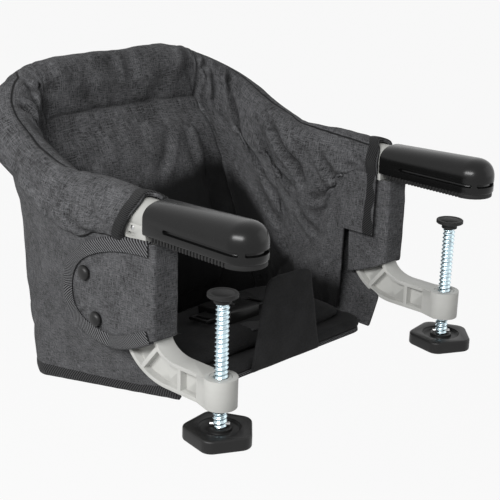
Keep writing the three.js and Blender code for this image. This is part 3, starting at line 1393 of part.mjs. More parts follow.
// The waist strap ends just outside the tongue that it holds.
function waistStrap(side) {
  const startX = BUCKLE_WIDTH / 2 - TONGUE_OVERLAP + TONGUE_LENGTH + CLEARANCE;
  const endY = WAIST_ANCHOR_DEPTH - BASE_FRONT;
  const bend = range(7).map((i) => {
    const angle = (i / 6) * (Math.PI / 2);
    const x = mix(startX, WAIST_ANCHOR_PLACE, Math.sin(angle));
    const y = mix(endY, buckleY, Math.cos(angle));
    return [side * x, y];
  });
  return strap(bend, WEBBING_WIDTH, WEBBING_THICKNESS);
}

function roundedBox(width, length, thickness, rounding) {
  const halfWidth = width / 2 - rounding;
  const halfLength = length / 2 - rounding;
  const shape = new THREE.Shape();
  shape.absarc(halfWidth, -halfLength, rounding, -Math.PI / 2, 0);
  shape.absarc(halfWidth, halfLength, rounding, 0, Math.PI / 2);
  shape.absarc(-halfWidth, halfLength, rounding, Math.PI / 2, Math.PI);
  shape.absarc(-halfWidth, -halfLength, rounding, Math.PI, (3 * Math.PI) / 2);
  return new THREE.ExtrudeGeometry(shape, {
    depth: thickness - rounding,
    bevelThickness: rounding / 2,
    bevelSize: rounding / 2,
    bevelOffset: -rounding / 2,
    bevelSegments: 2,
    curveSegments: 3,
    steps: 1,
  }).translate(0, 0, rounding / 2);
}

function tonguePlate(side, gap) {
  const inner = BUCKLE_WIDTH / 2 - TONGUE_OVERLAP - gap;
  const outer = inner + TONGUE_LENGTH + 2 * gap;
  const half = WEBBING_WIDTH / 2 + gap;
  const [low, high] = [side * inner, side * outer].sort((a, b) => a - b);
  const [bottom, top] = [tongueFloor - gap, tongueFloor + TONGUE_THICKNESS + gap];
  return block(low, high, buckleY - half, buckleY + half, bottom, top);
}

function buckleBody() {
  const body = roundedBox(BUCKLE_WIDTH, BUCKLE_LENGTH, BUCKLE_THICKNESS, BUCKLE_ROUNDING);
  body.translate(0, buckleY, buckleFloor);
  const top = buckleFloor + BUCKLE_THICKNESS;
  const pocket = bar(
    BUCKLE_BUTTON_DIAMETER / 2 + CLEARANCE,
    new THREE.Vector3(0, buckleY, top - BUCKLE_BUTTON_DEPTH - BUTTON_TRAVEL - CLEARANCE),
    new THREE.Vector3(0, buckleY, top + OVERRUN),
  );
  const slots = [-1, 1].map((side) => tonguePlate(side, CLEARANCE));
  return onBase(cut(body, pocket, ...slots));
}

function buckleButton() {
  const top = buckleFloor + BUCKLE_THICKNESS;
  const low = new THREE.Vector3(0, buckleY, top - BUCKLE_BUTTON_DEPTH);
  const high = new THREE.Vector3(0, buckleY, top + BUCKLE_BUTTON_STAND);
  return onBase(bar(BUCKLE_BUTTON_DIAMETER / 2, low, high));
}

function buckleTongue(side) {
  const outer = BUCKLE_WIDTH / 2 - TONGUE_OVERLAP + TONGUE_LENGTH;
  const slotFar = side * (outer - TONGUE_SLOT_MARGIN);
  const slotNear = side * (outer - TONGUE_SLOT_MARGIN - TONGUE_SLOT_LENGTH);
  const half = WEBBING_WIDTH / 2 - TONGUE_SLOT_MARGIN;
  const slot = block(
    Math.min(slotNear, slotFar),
    Math.max(slotNear, slotFar),
    buckleY - half,
    buckleY + half,
    tongueFloor - OVERRUN,
    tongueFloor + TONGUE_THICKNESS + OVERRUN,
  );
  return onBase(cut(tonguePlate(side, 0), slot));
}

const finish = (color, roughness, metalness) =>
  new THREE.MeshStandardMaterial({ color, roughness, metalness });

const finishes = {
  heather: () => finish(0x4a4a4e, 0.95, 0),
  binding: () => finish(0x1c1c1e, 0.9, 0),
  lining: () => finish(0x151516, 0.95, 0),
  grip: () => finish(0x1d1d1f, 0.45, 0),
  rubber: () => finish(0x161617, 0.8, 0),
  nylon: () => finish(0xcfcfc9, 0.5, 0),
  zinc: () => finish(0xb9c6cf, 0.3, 1),
  steel: () => finish(0x9a9da1, 0.35, 1),
  knob: () => finish(0x1a1a1c, 0.5, 0),
};

const chair = new THREE.Group();

function add(name, geometry, look) {
  const piece = new THREE.Mesh(geometry, finishes[look]());
  piece.name = name;
  chair.add(piece);
}

add("frame_tube", frameTube(), "steel");
add("back_roll", backRoll(), "heather");
add("seat_shell", seatShell(), "heather");
add("base_board", baseBoard(), "lining");
add("base_hem", baseHem(), "binding");
add("seat_pad", seatPad(), "lining");
add("back_cushion", backCushion(), "heather");
add("crotch_panel", crotchPanel(), "lining");
add("crotch_strap", crotchStrap(), "binding");
add("buckle_body", buckleBody(), "knob");
add("buckle_button", buckleButton(), "grip");

[
  [-1, "right"],
  [1, "left"],
].forEach(([side, hand]) => {
  const named = (name) => name + "_" + hand;
  add(named("tube_plug"), tubePlug(side), "knob");
  add(named("grip"), grip(side), "grip");
  add(named("grip_pad"), gripPad(side), "rubber");
  add(named("hub"), hub(side), "nylon");
  add(named("hub_screw"), hubScrew(side), "steel");
  add(named("fold_pin"), foldPin(side), "steel");
  add(named("lock_button"), lockButton(side), "nylon");
  add(named("clamp_arm"), clampArm(side), "nylon");
  add(named("thread_insert"), threadInsert(side), "nylon");
  add(named("clamp_screw"), clampScrew(side), "zinc");
  add(named("swivel_pad"), swivelPad(side), "rubber");
  add(named("knob"), knob(side), "knob");
  add(named("knob_pin"), knobPinShape(side, KNOB_PIN_DIAMETER / 2), "steel");
  add(named("arm_sleeve"), armSleeve(side), "heather");
  add(named("sleeve_binding"), sleeveBinding(side), "binding");
  add(named("side_lining"), sideLining(side), "heather");
  add(named("side_flap"), flap(side), "heather");
  add(named("flap_binding"), flapBinding(side), "binding");
  add(named("upper_snap"), snap(side, UPPER_SNAP_PLACE, UPPER_SNAP_DROP), "knob");
  add(named("lower_snap"), snap(side, LOWER_SNAP_PLACE, LOWER_SNAP_DROP), "knob");
  add(named("waist_strap"), waistStrap(side), "binding");
  add(named("buckle_tongue"), buckleTongue(side), "knob");
});

export default chair;
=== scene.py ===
# A child's seat that hangs on a table edge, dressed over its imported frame. Metres, +Z up: X runs
# across the seat, Y from the table towards the seat's back, and the table top is Z = 0.

import math

import bmesh
import bpy
from mathutils import Matrix, Vector, noise


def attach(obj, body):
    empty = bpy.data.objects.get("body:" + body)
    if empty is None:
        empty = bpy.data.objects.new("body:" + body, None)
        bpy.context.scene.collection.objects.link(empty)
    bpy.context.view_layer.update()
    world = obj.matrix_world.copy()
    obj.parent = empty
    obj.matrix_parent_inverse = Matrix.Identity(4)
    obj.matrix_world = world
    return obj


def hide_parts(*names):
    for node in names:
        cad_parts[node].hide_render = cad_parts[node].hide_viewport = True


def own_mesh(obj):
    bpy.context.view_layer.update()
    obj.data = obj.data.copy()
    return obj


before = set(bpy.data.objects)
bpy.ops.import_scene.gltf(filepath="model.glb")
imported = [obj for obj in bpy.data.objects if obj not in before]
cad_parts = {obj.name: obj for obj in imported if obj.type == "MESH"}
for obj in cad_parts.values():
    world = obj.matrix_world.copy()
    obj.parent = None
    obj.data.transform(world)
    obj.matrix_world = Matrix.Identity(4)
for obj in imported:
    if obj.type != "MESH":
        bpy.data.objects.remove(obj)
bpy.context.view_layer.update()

SIDES = (("right", -1), ("left", 1))
SAME_PLACE = 1e-6

# Camera at the photograph's viewpoint
VIEW_FROM = Vector((-0.8291, -0.7269, 0.3149))
VIEW_ALONG = Vector((0.6916, 0.6521, -0.3105))
VIEW_ROLL = math.radians(1.81)
VIEW_LENS = 90.35
VIEW_SENSOR = 36

# Centre line of the tube
ARM_X = 0.156
ARM_Z = 0.014
TUBE_REACH = 0.080
TUBE_RADIUS = 0.011
BACK_Y = 0.260
BACK_RISE = 0.071
CORNER_RADIUS = 0.062
CLIMB_START = 0.195
CLIMB_LENGTH = 0.200

# Sleeve over the tube
SLEEVE_HALF = 0.020
SLEEVE_CROWN = 0.0193
SLEEVE_FRONT = 0.027
DRAW_IN = 0.003
FRONT_SLANT = 0.55
FRONT_TURN = 0.008
INNER_FORWARD = 0.012
SLANT_REACH = 0.070

# Walls of the seat
WALL_FRONT = 0.053
FOOT_FRONT = 0.009
WALL_TUCK = 0.013
WALL_LEAN = 0.215
WALL_THICKNESS = 0.004
WALL_FLAT = 0.1682
WALL_TOP = 0.171
WALL_TUCK_START = 0.95
HEM_TOP = 10 / 169
WALL_ROUND = 0.74
WALL_HEIGHT = 0.235

# Base under the seat
BASE_FRONT = 0.006
BASE_DROP = 0.155
BASE_BACK = 0.178
BASE_FRONT_HALF = 0.125
BASE_REAR_HALF = 0.159
BASE_CORNER = 0.018
BASE_SLOPE = math.radians(5.7)
FOOT_OUT = 0.0043

# Hub, clamp arm and screw
HUB_HALF = 0.0147
FORK_HALF = 0.009
FORK_FRONT = 0.014
FORK_REAR = 0.038
FOLD_Z = -0.014
KNUCKLE_FRONT = 0.0204
KNUCKLE_REAR = 0.0316
BEAM_HALF = 0.0095
BEAM_TOP = -0.104
BEAM_BOTTOM = -0.130
SPINE_TOP = FOLD_Z - 0.0115
BOSS_RADIUS = 0.0145
SCREW_Y = -0.064
PITCH = 0.004

# Light and floor
SOFT_LIGHT = 0.20
FLOOR_Z = -0.74
FLOOR_HALF = 20


def mix(a, b, t):
    return a + (b - a) * t


def smooth(t):
    t = min(max(t, 0), 1)
    return t * t * (3 - 2 * t)


# Camera and lights


def placed(name, data):
    thing = bpy.data.objects.new(name, data)
    bpy.context.scene.collection.objects.link(thing)
    return thing


def set_camera():
    lens = bpy.data.cameras.new("camera")
    lens.lens = VIEW_LENS
    lens.sensor_width = VIEW_SENSOR
    camera = placed("camera", lens)
    along = VIEW_ALONG.normalized()
    level = along.cross(Vector((0, 0, 1))).normalized()
    above = level.cross(along)
    right = level * math.cos(VIEW_ROLL) + above * math.sin(VIEW_ROLL)
    up = above * math.cos(VIEW_ROLL) - level * math.sin(VIEW_ROLL)
    turn = Matrix((right, up, -along)).transposed().to_4x4()
    camera.matrix_world = Matrix.Translation(VIEW_FROM) @ turn
    bpy.context.scene.camera = camera


def area_light(name, place, target, size, power):
    lamp = bpy.data.lights.new(name, "AREA")
    lamp.shape = "RECTANGLE"
    lamp.size, lamp.size_y = size
    lamp.energy = power
    light = placed(name, lamp)
    light.location = place
    light.rotation_euler = (Vector(target) - Vector(place)).to_track_quat("-Z", "Y").to_euler()


# Materials. A wire is one output of a node, and arithmetic on wires adds Math nodes.


class Wire:
    def __init__(self, finish, socket):
        self.finish = finish
        self.socket = socket

    def math(self, operation, *others):
        return self.finish.node("ShaderNodeMath", {"operation": operation}, self, *others)

    def __add__(self, other):
        return self.math("ADD", other)

    def __sub__(self, other):
        return self.math("SUBTRACT", other)

    def __rsub__(self, other):
        return self.finish.node("ShaderNodeMath", {"operation": "SUBTRACT"}, other, self)

    def __mul__(self, other):
        return self.math("MULTIPLY", other)

    __radd__ = __add__
    __rmul__ = __mul__

    def __abs__(self):
        return self.math("ABSOLUTE")

    def clamped(self):
        return self.finish.node("ShaderNodeClamp", {}, self)


class Finish:
    def __init__(self, name, **constants):
        self.material = bpy.data.materials.new(name)
        self.material.use_nodes = True
        self.tree = self.material.node_tree
        self.shader = self.tree.nodes["Principled BSDF"]
        self.look(**constants)

    def node(self, kind, settings, *values, output=0, **named):
        made = self.tree.nodes.new(kind)
        for key, value in settings.items():
            setattr(made, key, value)
        for index, value in enumerate(values):
            self.feed(made.inputs[index], value)
        for key, value in named.items():
            self.feed(made.inputs[key], value)
        return Wire(self, made.outputs[output])

    def feed(self, socket, value):
        if isinstance(value, Wire):
            self.tree.links.new(value.socket, socket)
        else:
            socket.default_value = value

    def look(self, **values):
        for key, value in values.items():
            self.feed(self.shader.inputs[key.replace("_", " ")], value)
        return self.material

    def place(self):
        return self.node("ShaderNodeTexCoord", {}, output="Object")

    def attribute(self, name):
        return self.node("ShaderNodeAttribute", {"attribute_name": name}, output="Vector")

    def parts(self, vector):
        split = self.node("ShaderNodeSeparateXYZ", {}, vector)
        return [Wire(self, socket) for socket in split.socket.node.outputs]

    def scaled(self, vector, scale):
        return self.node("ShaderNodeMapping", {}, Vector=vector, Scale=scale)

    def noise(self, vector, scale, detail=2.0, roughness=0.5):
        return self.node(
            "ShaderNodeTexNoise", {}, Vector=vector, Scale=scale, Detail=detail, Roughness=roughness
        )

    def ramp(self, wire, low, high, kind="SMOOTHSTEP"):
        return self.node("ShaderNodeMapRange", {"interpolation_type": kind}, wire, low, high, 0.0, 1.0)

    def blend(self, share, first, second):
        mixed = self.tree.nodes.new("ShaderNodeMix")
        mixed.data_type = "RGBA"
        for socket, value in zip((0, 6, 7), (share, first, second)):
            self.feed(mixed.inputs[socket], value)
        return Wire(self, mixed.outputs[2])

    def bump(self, height, strength, distance):
        return self.node("ShaderNodeBump", {}, Strength=strength, Distance=distance, Height=height)


def grey(value, tint=(1, 1, 1)):
    return (value * tint[0], value * tint[1], value * tint[2], 1)


COOL = (0.985, 0.99, 1.03)


def heather_cloth(name, lining=False):
    f = Finish(name, Sheen_Weight=0.03, Sheen_Roughness=0.5, Specular_IOR_Level=0.1)
    cloth = f.attribute("weave")
    across, along, depth = f.parts(cloth)
    warp = f.noise(f.scaled(cloth, (1250, 130, 1)), 1.0, 2.0, 0.7)
    weft = f.noise(f.scaled(cloth, (130, 1250, 1)), 1.0, 2.0, 0.7)
    fine = f.noise(f.scaled(cloth, (1700, 1700, 1)), 1.0, 2.0, 0.6)
    patch = f.noise(f.scaled(cloth, (38, 38, 1)), 1.0, 2.0, 0.5)
    threads = warp.math("MAXIMUM", weft) * 0.45 + (warp + weft) * 0.275
    mottled = threads * 0.58 + fine * 0.32 + patch * 0.10
    share = f.ramp(mottled, 0.43, 0.62, "LINEAR")
    color = f.blend(share, grey(0.014, COOL), grey(0.155, COOL))
    ridge, edge, out_of_crease_shade = f.parts(f.attribute("seams"))
    # Dark line along the ridge's stitched seam and along the marked edge; at the sleeve's lower edge and
    # the cushion's rim it is partly painted shadow under the edge.
    line = 1 - f.ramp(abs(ridge).math("MINIMUM", edge), 0.0004, 0.0015)
    color = f.blend(line * 0.9, color, grey(0.004))
    # Painted shade: the cloth darkens in the bottom of deep folds.
    color = f.blend((1 - out_of_crease_shade.clamped()) * 0.8, color, grey(0.006))
    # Inside the seat the cloth turns near black below a ragged line: partly black lining, partly painted
    # shade of the seat's inside.
    if lining:
        ragged_shade_depth = depth + (patch - 0.5) * 0.016
        color = f.blend(f.ramp(ragged_shade_depth, -0.014, 0.008) * 0.96, color, grey(0.0030, COOL))
    weave = (across * 6800).math("SINE") * (along * 6800).math("SINE")
    height = weave * 0.3 + threads * 1.2 - line * 1.5
    rough = 0.86 + mottled * 0.1
    return f.look(Base_Color=color, Roughness=rough, Normal=f.bump(height, 0.7, 0.0005))


def twill_tape(name, dark, light, pitch):
    f = Finish(name, Sheen_Weight=0.03, Specular_IOR_Level=0.2)
    cloth = f.attribute("weave")
    across, along, _ = f.parts(cloth)
    wave = ((across + along) * (2 * math.pi / pitch)).math("SINE")
    grain = f.noise(f.scaled(cloth, (700, 700, 1)), 1.0, 3.0, 0.65)
    share = f.ramp(wave * 0.5 + 0.5 + (grain - 0.5) * 0.9, 0.35, 0.8)
    color = f.blend(share, grey(dark, COOL), grey(light, COOL))
    height = wave + grain
    return f.look(Base_Color=color, Roughness=0.7 + grain * 0.25, Normal=f.bump(height, 0.8, 0.0005))


def black_cloth(name, dark, light):
    f = Finish(name, Sheen_Weight=0.02, Specular_IOR_Level=0.2)
    x, y, z = f.parts(f.place())
    weave = ((x + z) * 5200).math("SINE") * ((y + z) * 5200).math("SINE")
    grain = f.noise(f.place(), 900.0, 3.0, 0.6)
    patch = f.noise(f.place(), 40.0)
    share = f.ramp(grain * 0.6 + patch * 0.4, 0.35, 0.65)
    color = f.blend(share, grey(dark, COOL), grey(light, COOL))
    normal = f.bump(weave * 0.4 + grain, 0.5, 0.0003)
    return f.look(Base_Color=color, Roughness=0.8 + grain * 0.15, Normal=normal)


def webbing(name):
    f = Finish(name, Specular_IOR_Level=0.35)
    x, y, _ = f.parts(f.place())
    rib = ((x + y * 0.35) * (2 * math.pi / 0.0022)).math("SINE")
    cross = ((y - x * 0.35) * (2 * math.pi / 0.0011)).math("SINE")
    grain = f.noise(f.place(), 1300.0, 2.0, 0.6)
    share = f.ramp(rib * 0.4 + cross * 0.3 + grain, 0.3, 1.1)
    color = f.blend(share, grey(0.008, COOL), grey(0.045, COOL))
    normal = f.bump(rib + cross * 0.6, 0.6, 0.0004)
    return f.look(Base_Color=color, Roughness=0.55 + grain * 0.2, Normal=normal)


def moulded(name, color, rough, texture, wear, tint=(1, 1, 1), grain_scale=1800.0):
    f = Finish(name, Specular_IOR_Level=0.26)
    place = f.place()
    grain = f.noise(place, grain_scale, 2.0, 0.5)
    flow = f.noise(f.scaled(place, (26, 26, 60)), 1.0, 3.0, 0.55)
    scuff = f.noise(f.scaled(place, (90, 300, 500)), 1.0, 4.0, 0.7)
    edge = f.node("ShaderNodeNewGeometry", {}, output="Pointiness")
    worn = f.ramp(edge, 0.52, 0.6) * wear
    share = f.ramp(flow, 0.3, 0.7)
    body = f.blend(share, grey(color * 0.93, tint), grey(color * 1.05, tint))
    body = f.blend(worn, body, grey(min(color * 1.7 + 0.02, 0.9), tint))
    roughness = rough - 0.05 + flow * 0.06 + f.ramp(scuff, 0.6, 0.75) * 0.07
    return f.look(Base_Color=body, Roughness=roughness, Normal=f.bump(grain, texture, 0.00012))


def plated(name, color, rough, tint=(1, 1, 1), darker=0.75):
    f = Finish(name, Metallic=1.0)
    lines = f.noise(f.scaled(f.place(), (30, 30, 1600)), 1.0, 3.0, 0.6)
    cloud = f.noise(f.place(), 160.0, 3.0, 0.6)
    share = f.ramp(cloud, 0.35, 0.65)
    body = f.blend(share, grey(color * darker, tint), grey(color, tint))
    normal = f.bump(lines, 0.12, 0.00008)
    return f.look(Base_Color=body, Roughness=rough - 0.06 + lines * 0.14, Normal=normal)


heather = heather_cloth("heather cloth")
inner_heather = heather_cloth("heather cloth inside the seat, with painted shade", lining=True)
binding = twill_tape("twill binding", 0.004, 0.14, 0.0030)
front_binding = twill_tape("twill tape round the sleeves", 0.003, 0.032, 0.0026)
hem_tape = twill_tape("twill tape round the base", 0.004, 0.050, 0.0028)
cover = black_cloth("black cover", 0.005, 0.018)
strapping = webbing("harness webbing")
grip_black = moulded("grip plastic", 0.0050, 0.27, 0.15, 0.12)
knob_black = moulded("knob plastic", 0.011, 0.42, 0.2, 0.15)
buckle_black = moulded("buckle plastic", 0.013, 0.33, 0.12, 0.12)
rubber = moulded("black rubber", 0.010, 0.62, 0.35, 0.1, grain_scale=1200.0)
nylon = moulded("grey nylon", 0.37, 0.42, 0.12, 0.3, tint=(1.0, 1.0, 0.955))
zinc = plated("zinc plate", 0.78, 0.24, tint=(0.80, 0.98, 1.06))
steel = plated("satin steel", 0.55, 0.30, darker=0.85)


# Pieces


def piece_of(bm, name, material, replaces=(), body="chair", sharp=180):
    piece = loose(bm, name)
    piece.data.shade_smooth()
    piece.data.set_sharp_from_angle(angle=math.radians(sharp))
    piece.data.materials.append(material)
    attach(piece, body)
    if replaces:
        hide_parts(*replaces)
    return piece


def hard_piece(bm, node, ending, material, body="chair", sharp=30):
    """A firm piece with sharp edges, which takes the place of one node of the frame."""
    return piece_of(bm, node + ending, material, (node,), body, sharp)


def merged(node):
    bm = bmesh.new()
    bm.from_mesh(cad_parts[node].data)
    bmesh.ops.remove_doubles(bm, verts=bm.verts, dist=SAME_PLACE)
    bmesh.ops.dissolve_limit(bm, angle_limit=math.radians(1), verts=bm.verts, edges=bm.edges)
    return bm


def bevelled(bm, edges, width, segments):
    bmesh.ops.bevel(
        bm,
        geom=edges,
        offset=width,
        offset_type="OFFSET",
        segments=segments,
        profile=0.5,
        affect="EDGES",
        material=-1,
        clamp_overlap=True,
    )
    return bm


def round_edges(bm, width, angle=32):
    limit = math.radians(angle)
    sharp = [edge for edge in bm.edges if edge.is_manifold and edge.calc_face_angle(0) > limit]
    return bevelled(bm, sharp, width, 2)


def softened(node, material, width, body="chair"):
    return hard_piece(round_edges(merged(node), width), node, "_finished", material, body, 38)


def lathed(profile, steps=48):
    bm = bmesh.new()
    points = [bm.verts.new((radius, 0, height)) for radius, height in profile]
    edges = [bm.edges.new(pair) for pair in zip(points, points[1:])]
    turned = {"cent": (0, 0, 0), "axis": (0, 0, 1), "angle": 2 * math.pi, "steps": steps}
    bmesh.ops.spin(bm, geom=points + edges, use_merge=True, use_duplicate=False, **turned)
    bmesh.ops.remove_doubles(bm, verts=bm.verts, dist=SAME_PLACE)
    bmesh.ops.recalc_face_normals(bm, faces=bm.faces)
    return bm


def moved(bm, *, turn=None, to=(0, 0, 0)):
    if turn:
        bmesh.ops.rotate(bm, verts=bm.verts, cent=(0, 0, 0), matrix=turn)
    bmesh.ops.translate(bm, verts=bm.verts, vec=to)
    return bm


def facing_out(bm, side, x, y, z):
    """Turns a lathed shape's top to the outside of its side and puts it there."""
    return moved(bm, turn=Matrix.Rotation(side * math.pi / 2, 3, "Y"), to=(side * x, y, z))


def plate(outline, depth):
    """A drawn outline of [x, y] corners, raised along Z."""
    bm = bmesh.new()
    face = bm.faces.new([bm.verts.new((x, y, 0)) for x, y in outline])
    raised = bmesh.ops.extrude_face_region(bm, geom=[face])["geom"]
    top = [v for v in raised if isinstance(v, bmesh.types.BMVert)]
    bmesh.ops.translate(bm, verts=top, vec=(0, 0, depth))
    bmesh.ops.recalc_face_normals(bm, faces=bm.faces)
    return bm


def rod(radius, start, end, steps=48):
    start, end = Vector(start), Vector(end)
    bm = bmesh.new()
    size = {"radius1": radius, "radius2": radius, "depth": (end - start).length}
    bmesh.ops.create_cone(bm, cap_ends=True, segments=steps, **size)
    turn = (end - start).to_track_quat("Z", "Y").to_matrix()
    return moved(bm, turn=turn, to=(start + end) / 2)


def rod_back(radius, front, rear, z, steps):
    """A rod along Y in the middle of its part."""
    return rod(radius, (0, front, z), (0, rear, z), steps)


def brick(low, high):
    bm = bmesh.new()
    bmesh.ops.create_cube(bm, size=1)
    low, high = Vector(low), Vector(high)
    bmesh.ops.scale(bm, verts=bm.verts, vec=high - low)
    return moved(bm, to=(low + high) / 2)


def loose(bm, name="tool"):
    mesh = bpy.data.meshes.new(name)
    bm.to_mesh(mesh)
    bm.free()
    return placed(name, mesh)


def baked(thing):
    """The shape that an object has after its modifiers. The object itself is removed."""
    bpy.context.view_layer.update()
    graph = bpy.context.evaluated_depsgraph_get()
    bm = bmesh.new()
    bm.from_mesh(bpy.data.meshes.new_from_object(thing.evaluated_get(graph)))
    bpy.data.objects.remove(thing)
    return bm


def worked(body, *steps):
    """Joins and cuts closed shapes: a step is an operation and the shapes that it takes in turn."""
    base = loose(body)
    tools = []
    for operation, *shapes in steps:
        for bm in shapes:
            tools.append(loose(bm))
            modifier = base.modifiers.new(operation, "BOOLEAN")
            modifier.operation = operation
            modifier.solver = "EXACT"
            modifier.object = tools[-1]
    result = baked(base)
    for tool in tools:
        bpy.data.objects.remove(tool)
    bmesh.ops.remove_doubles(result, verts=result.verts, dist=2 * SAME_PLACE)
    limit = math.radians(0.5)
    bmesh.ops.dissolve_limit(result, angle_limit=limit, verts=result.verts, edges=result.edges)
    return result


# Centre line of the tube, from the right arm's front end round the back to the left arm's

ARM_LENGTH = TUBE_REACH + BACK_Y - CORNER_RADIUS
CORNER_LENGTH = CORNER_RADIUS * math.pi / 2
BACK_HALF = ARM_X - CORNER_RADIUS
RAIL_HALF = ARM_LENGTH + CORNER_LENGTH + BACK_HALF
RAIL_LENGTH = 2 * RAIL_HALF


def from_end(distance):
    """How far a place on the tube is from the nearer end."""
    return min(distance, RAIL_LENGTH - distance)


def rail(distance):
    d = from_end(distance)
    past_arm = d - ARM_LENGTH
    angle = min(max(past_arm / CORNER_RADIUS, 0), math.pi / 2)
    outward = Vector((-math.cos(angle), math.sin(angle), 0))
    point = Vector((-BACK_HALF, BACK_Y - CORNER_RADIUS, 0)) + outward * CORNER_RADIUS
    point.y += min(past_arm, 0)
    point.x += max(past_arm - CORNER_LENGTH, 0)
    point.z = ARM_Z + BACK_RISE * smooth((d - CLIMB_START) / CLIMB_LENGTH)
    if distance > RAIL_HALF:
        point.x, outward.x = -point.x, -outward.x
    return point, outward


def skirt_drops(distance):
    """How far the sleeve's outer and inner skirts hang below the tube's centre line."""
    d = from_end(distance)
    on_arm = mix(0.022, 0.031, smooth((d - TUBE_REACH - 0.050) / 0.050))
    to_corner = smooth((d - ARM_LENGTH + 0.100) / 0.100)
    to_back = smooth((d - ARM_LENGTH - CORNER_LENGTH / 2) / CORNER_LENGTH)
    inside = smooth((d - ARM_LENGTH) / CORNER_LENGTH)
    outer = mix(mix(on_arm, 0.021, to_corner), 0.034, to_back)
    inner = mix(0.014, 0.031, smooth((d - TUBE_REACH - 0.045) / 0.045))
    return outer, mix(inner, 0.034, inside)


OUTER_SHARE = 0.25
INNER_SHARE = 0.75


def sleeve_contour(distance, share, grown=0.0):
    """From the outer skirt's edge at share 0 over the tube to the inner skirt's edge at 1."""
    outer, inner = skirt_drops(distance)
    half = SLEEVE_HALF + grown
    if share < OUTER_SHARE:
        t = 1 - share / OUTER_SHARE
        return half - DRAW_IN * t * t + 0.0018 * math.sin(math.pi * t), -outer * t
    if share > INNER_SHARE:
        t = (share - INNER_SHARE) / (1 - INNER_SHARE)
        return -half + DRAW_IN * t * t, -inner * t
    angle = math.pi * (share - OUTER_SHARE) / (INNER_SHARE - OUTER_SHARE)
    return half * math.cos(angle), (SLEEVE_CROWN + grown) * math.sin(angle)


def sleeve_point(distance, share, grown=0.0):
    away, up = sleeve_contour(distance, share, grown)
    from_front = from_end(distance) - TUBE_REACH - SLEEVE_FRONT
    outside = smooth(away / SLEEVE_HALF)
    back = outside * (FRONT_SLANT * (SLEEVE_CROWN - up) - FRONT_TURN)
    back -= smooth(-away / SLEEVE_HALF) * INNER_FORWARD
    back *= 1 - smooth(from_front / SLANT_REACH)
    way = -1 if distance > RAIL_HALF else 1
    point, outward = rail(distance + way * back)
    return point + outward * away + Vector((0, 0, up))


# Wall of the seat, from the right side's front edge round the back to the left side's

BASE_SPREAD = (BASE_REAR_HALF - BASE_FRONT_HALF) / (BASE_BACK - BASE_FRONT)
SIDE_SHARE = 0.45
CORNER_SHARE = 0.30
BACK_SHARE = 0.25


def base_bottom(y):
    return -BASE_DROP - (y - BASE_FRONT) * math.tan(BASE_SLOPE)


def base_half(y):
    return BASE_FRONT_HALF + (y - BASE_FRONT) * BASE_SPREAD


def wall_outline(share):
    """The wall at a share of its height: half widths in front and behind, back, corner radius."""
    to_top = min(share / WALL_TUCK_START, 1)
    tuck = smooth((share - WALL_TUCK_START) / (1 - WALL_TUCK_START))
    grow = 1 - (1 - to_top) ** 2
    corner = base_half(BASE_BACK) + FOOT_OUT
    front = base_half(wall_front(share)) + FOOT_OUT
    lean = WALL_LEAN * (BACK_RISE + BASE_DROP + ARM_Z)
    bottom = BASE_BACK + FOOT_OUT
    flare = (BACK_Y + 0.015 - bottom - lean) * share**7
    side_front = mix(mix(front, WALL_FLAT, grow), WALL_TOP, tuck)
    side_rear = mix(mix(corner, WALL_FLAT, to_top), WALL_TOP, tuck)
    radius = mix(BASE_CORNER + FOOT_OUT, CORNER_RADIUS + 0.015, share**1.5)
    return side_front, side_rear, bottom + lean * share + flare, radius


def wall_front(height):
    """The wall's front edge: its foot runs forward under the clamp arm to the base's corner."""
    rise = min(max((height - 0.195) / 0.30, 0), 1)
    return WALL_FRONT - (WALL_FRONT - FOOT_FRONT) * (1 - rise) ** 4


def wall_top_distance(part, share):
    if part == "side":
        return TUBE_REACH + mix(WALL_FRONT, BACK_Y - CORNER_RADIUS, share)
    if part == "corner":
        return ARM_LENGTH + share * CORNER_LENGTH
    return ARM_LENGTH + CORNER_LENGTH + share * BACK_HALF


def wall_foot(part, share):
    _, _, back, radius = wall_outline(0)
    if part == "side":
        return mix(FOOT_FRONT, back - radius, share)
    if part == "corner":
        return back - radius + radius * math.sin(share * math.pi / 2)
    return back


def wall_station(around):
    """The part of the half wall that a share of the whole way round lies on."""
    half = 2 * min(around, 1 - around)
    corner_end = SIDE_SHARE + CORNER_SHARE
    if half < SIDE_SHARE:
        return "side", half / SIDE_SHARE
    if half < corner_end:
        return "corner", (half - SIDE_SHARE) / CORNER_SHARE
    return "back", (half - corner_end) / BACK_SHARE


def wall_point(around, height, out=0.0):
    part, share = wall_station(around)
    side_front, side_rear, back, radius = wall_outline(height)
    corner_y = back - radius
    corner_x = radius - side_rear
    if part == "side":
        outward = Vector((-1, 0, 0))
        y = mix(wall_front(height), corner_y, share)
        point = Vector((-mix(side_front, side_rear, share), y, 0))
    elif part == "corner":
        angle = share * math.pi / 2
        outward = Vector((-math.cos(angle), math.sin(angle), 0))
        point = Vector((corner_x, corner_y, 0)) + outward * radius
    else:
        outward = Vector((0, 1, 0))
        point = Vector((mix(corner_x, 0, share), back, 0))
    point += outward * out
    top = rail(wall_top_distance(part, share))[0].z - WALL_TUCK
    point.z = mix(base_bottom(wall_foot(part, share)), top, height)
    if around > 0.5:
        point.x, outward.x = -point.x, -outward.x
    return point, outward


# Cloth


def along_line(point, line):
    """How far a flat point is from a drawn line, positive to its left, and its place along it, 0 to 1."""
    lengths = [(b - a).length for a, b in zip(line, line[1:])]
    whole = sum(lengths)
    best, place, run = 1e9, 0.0, 0.0
    for (a, b), length in zip(zip(line, line[1:]), lengths):
        t = min(max((point - a).dot(b - a) / (length * length), 0), 1)
        off = point - a - (b - a) * t
        if off.length < abs(best):
            left = (b - a).x * off.y - (b - a).y * off.x
            best, place = math.copysign(off.length, left), (run + t * length) / whole
        run += length
    return best, place


def bell(x):
    return math.exp(-x * x)


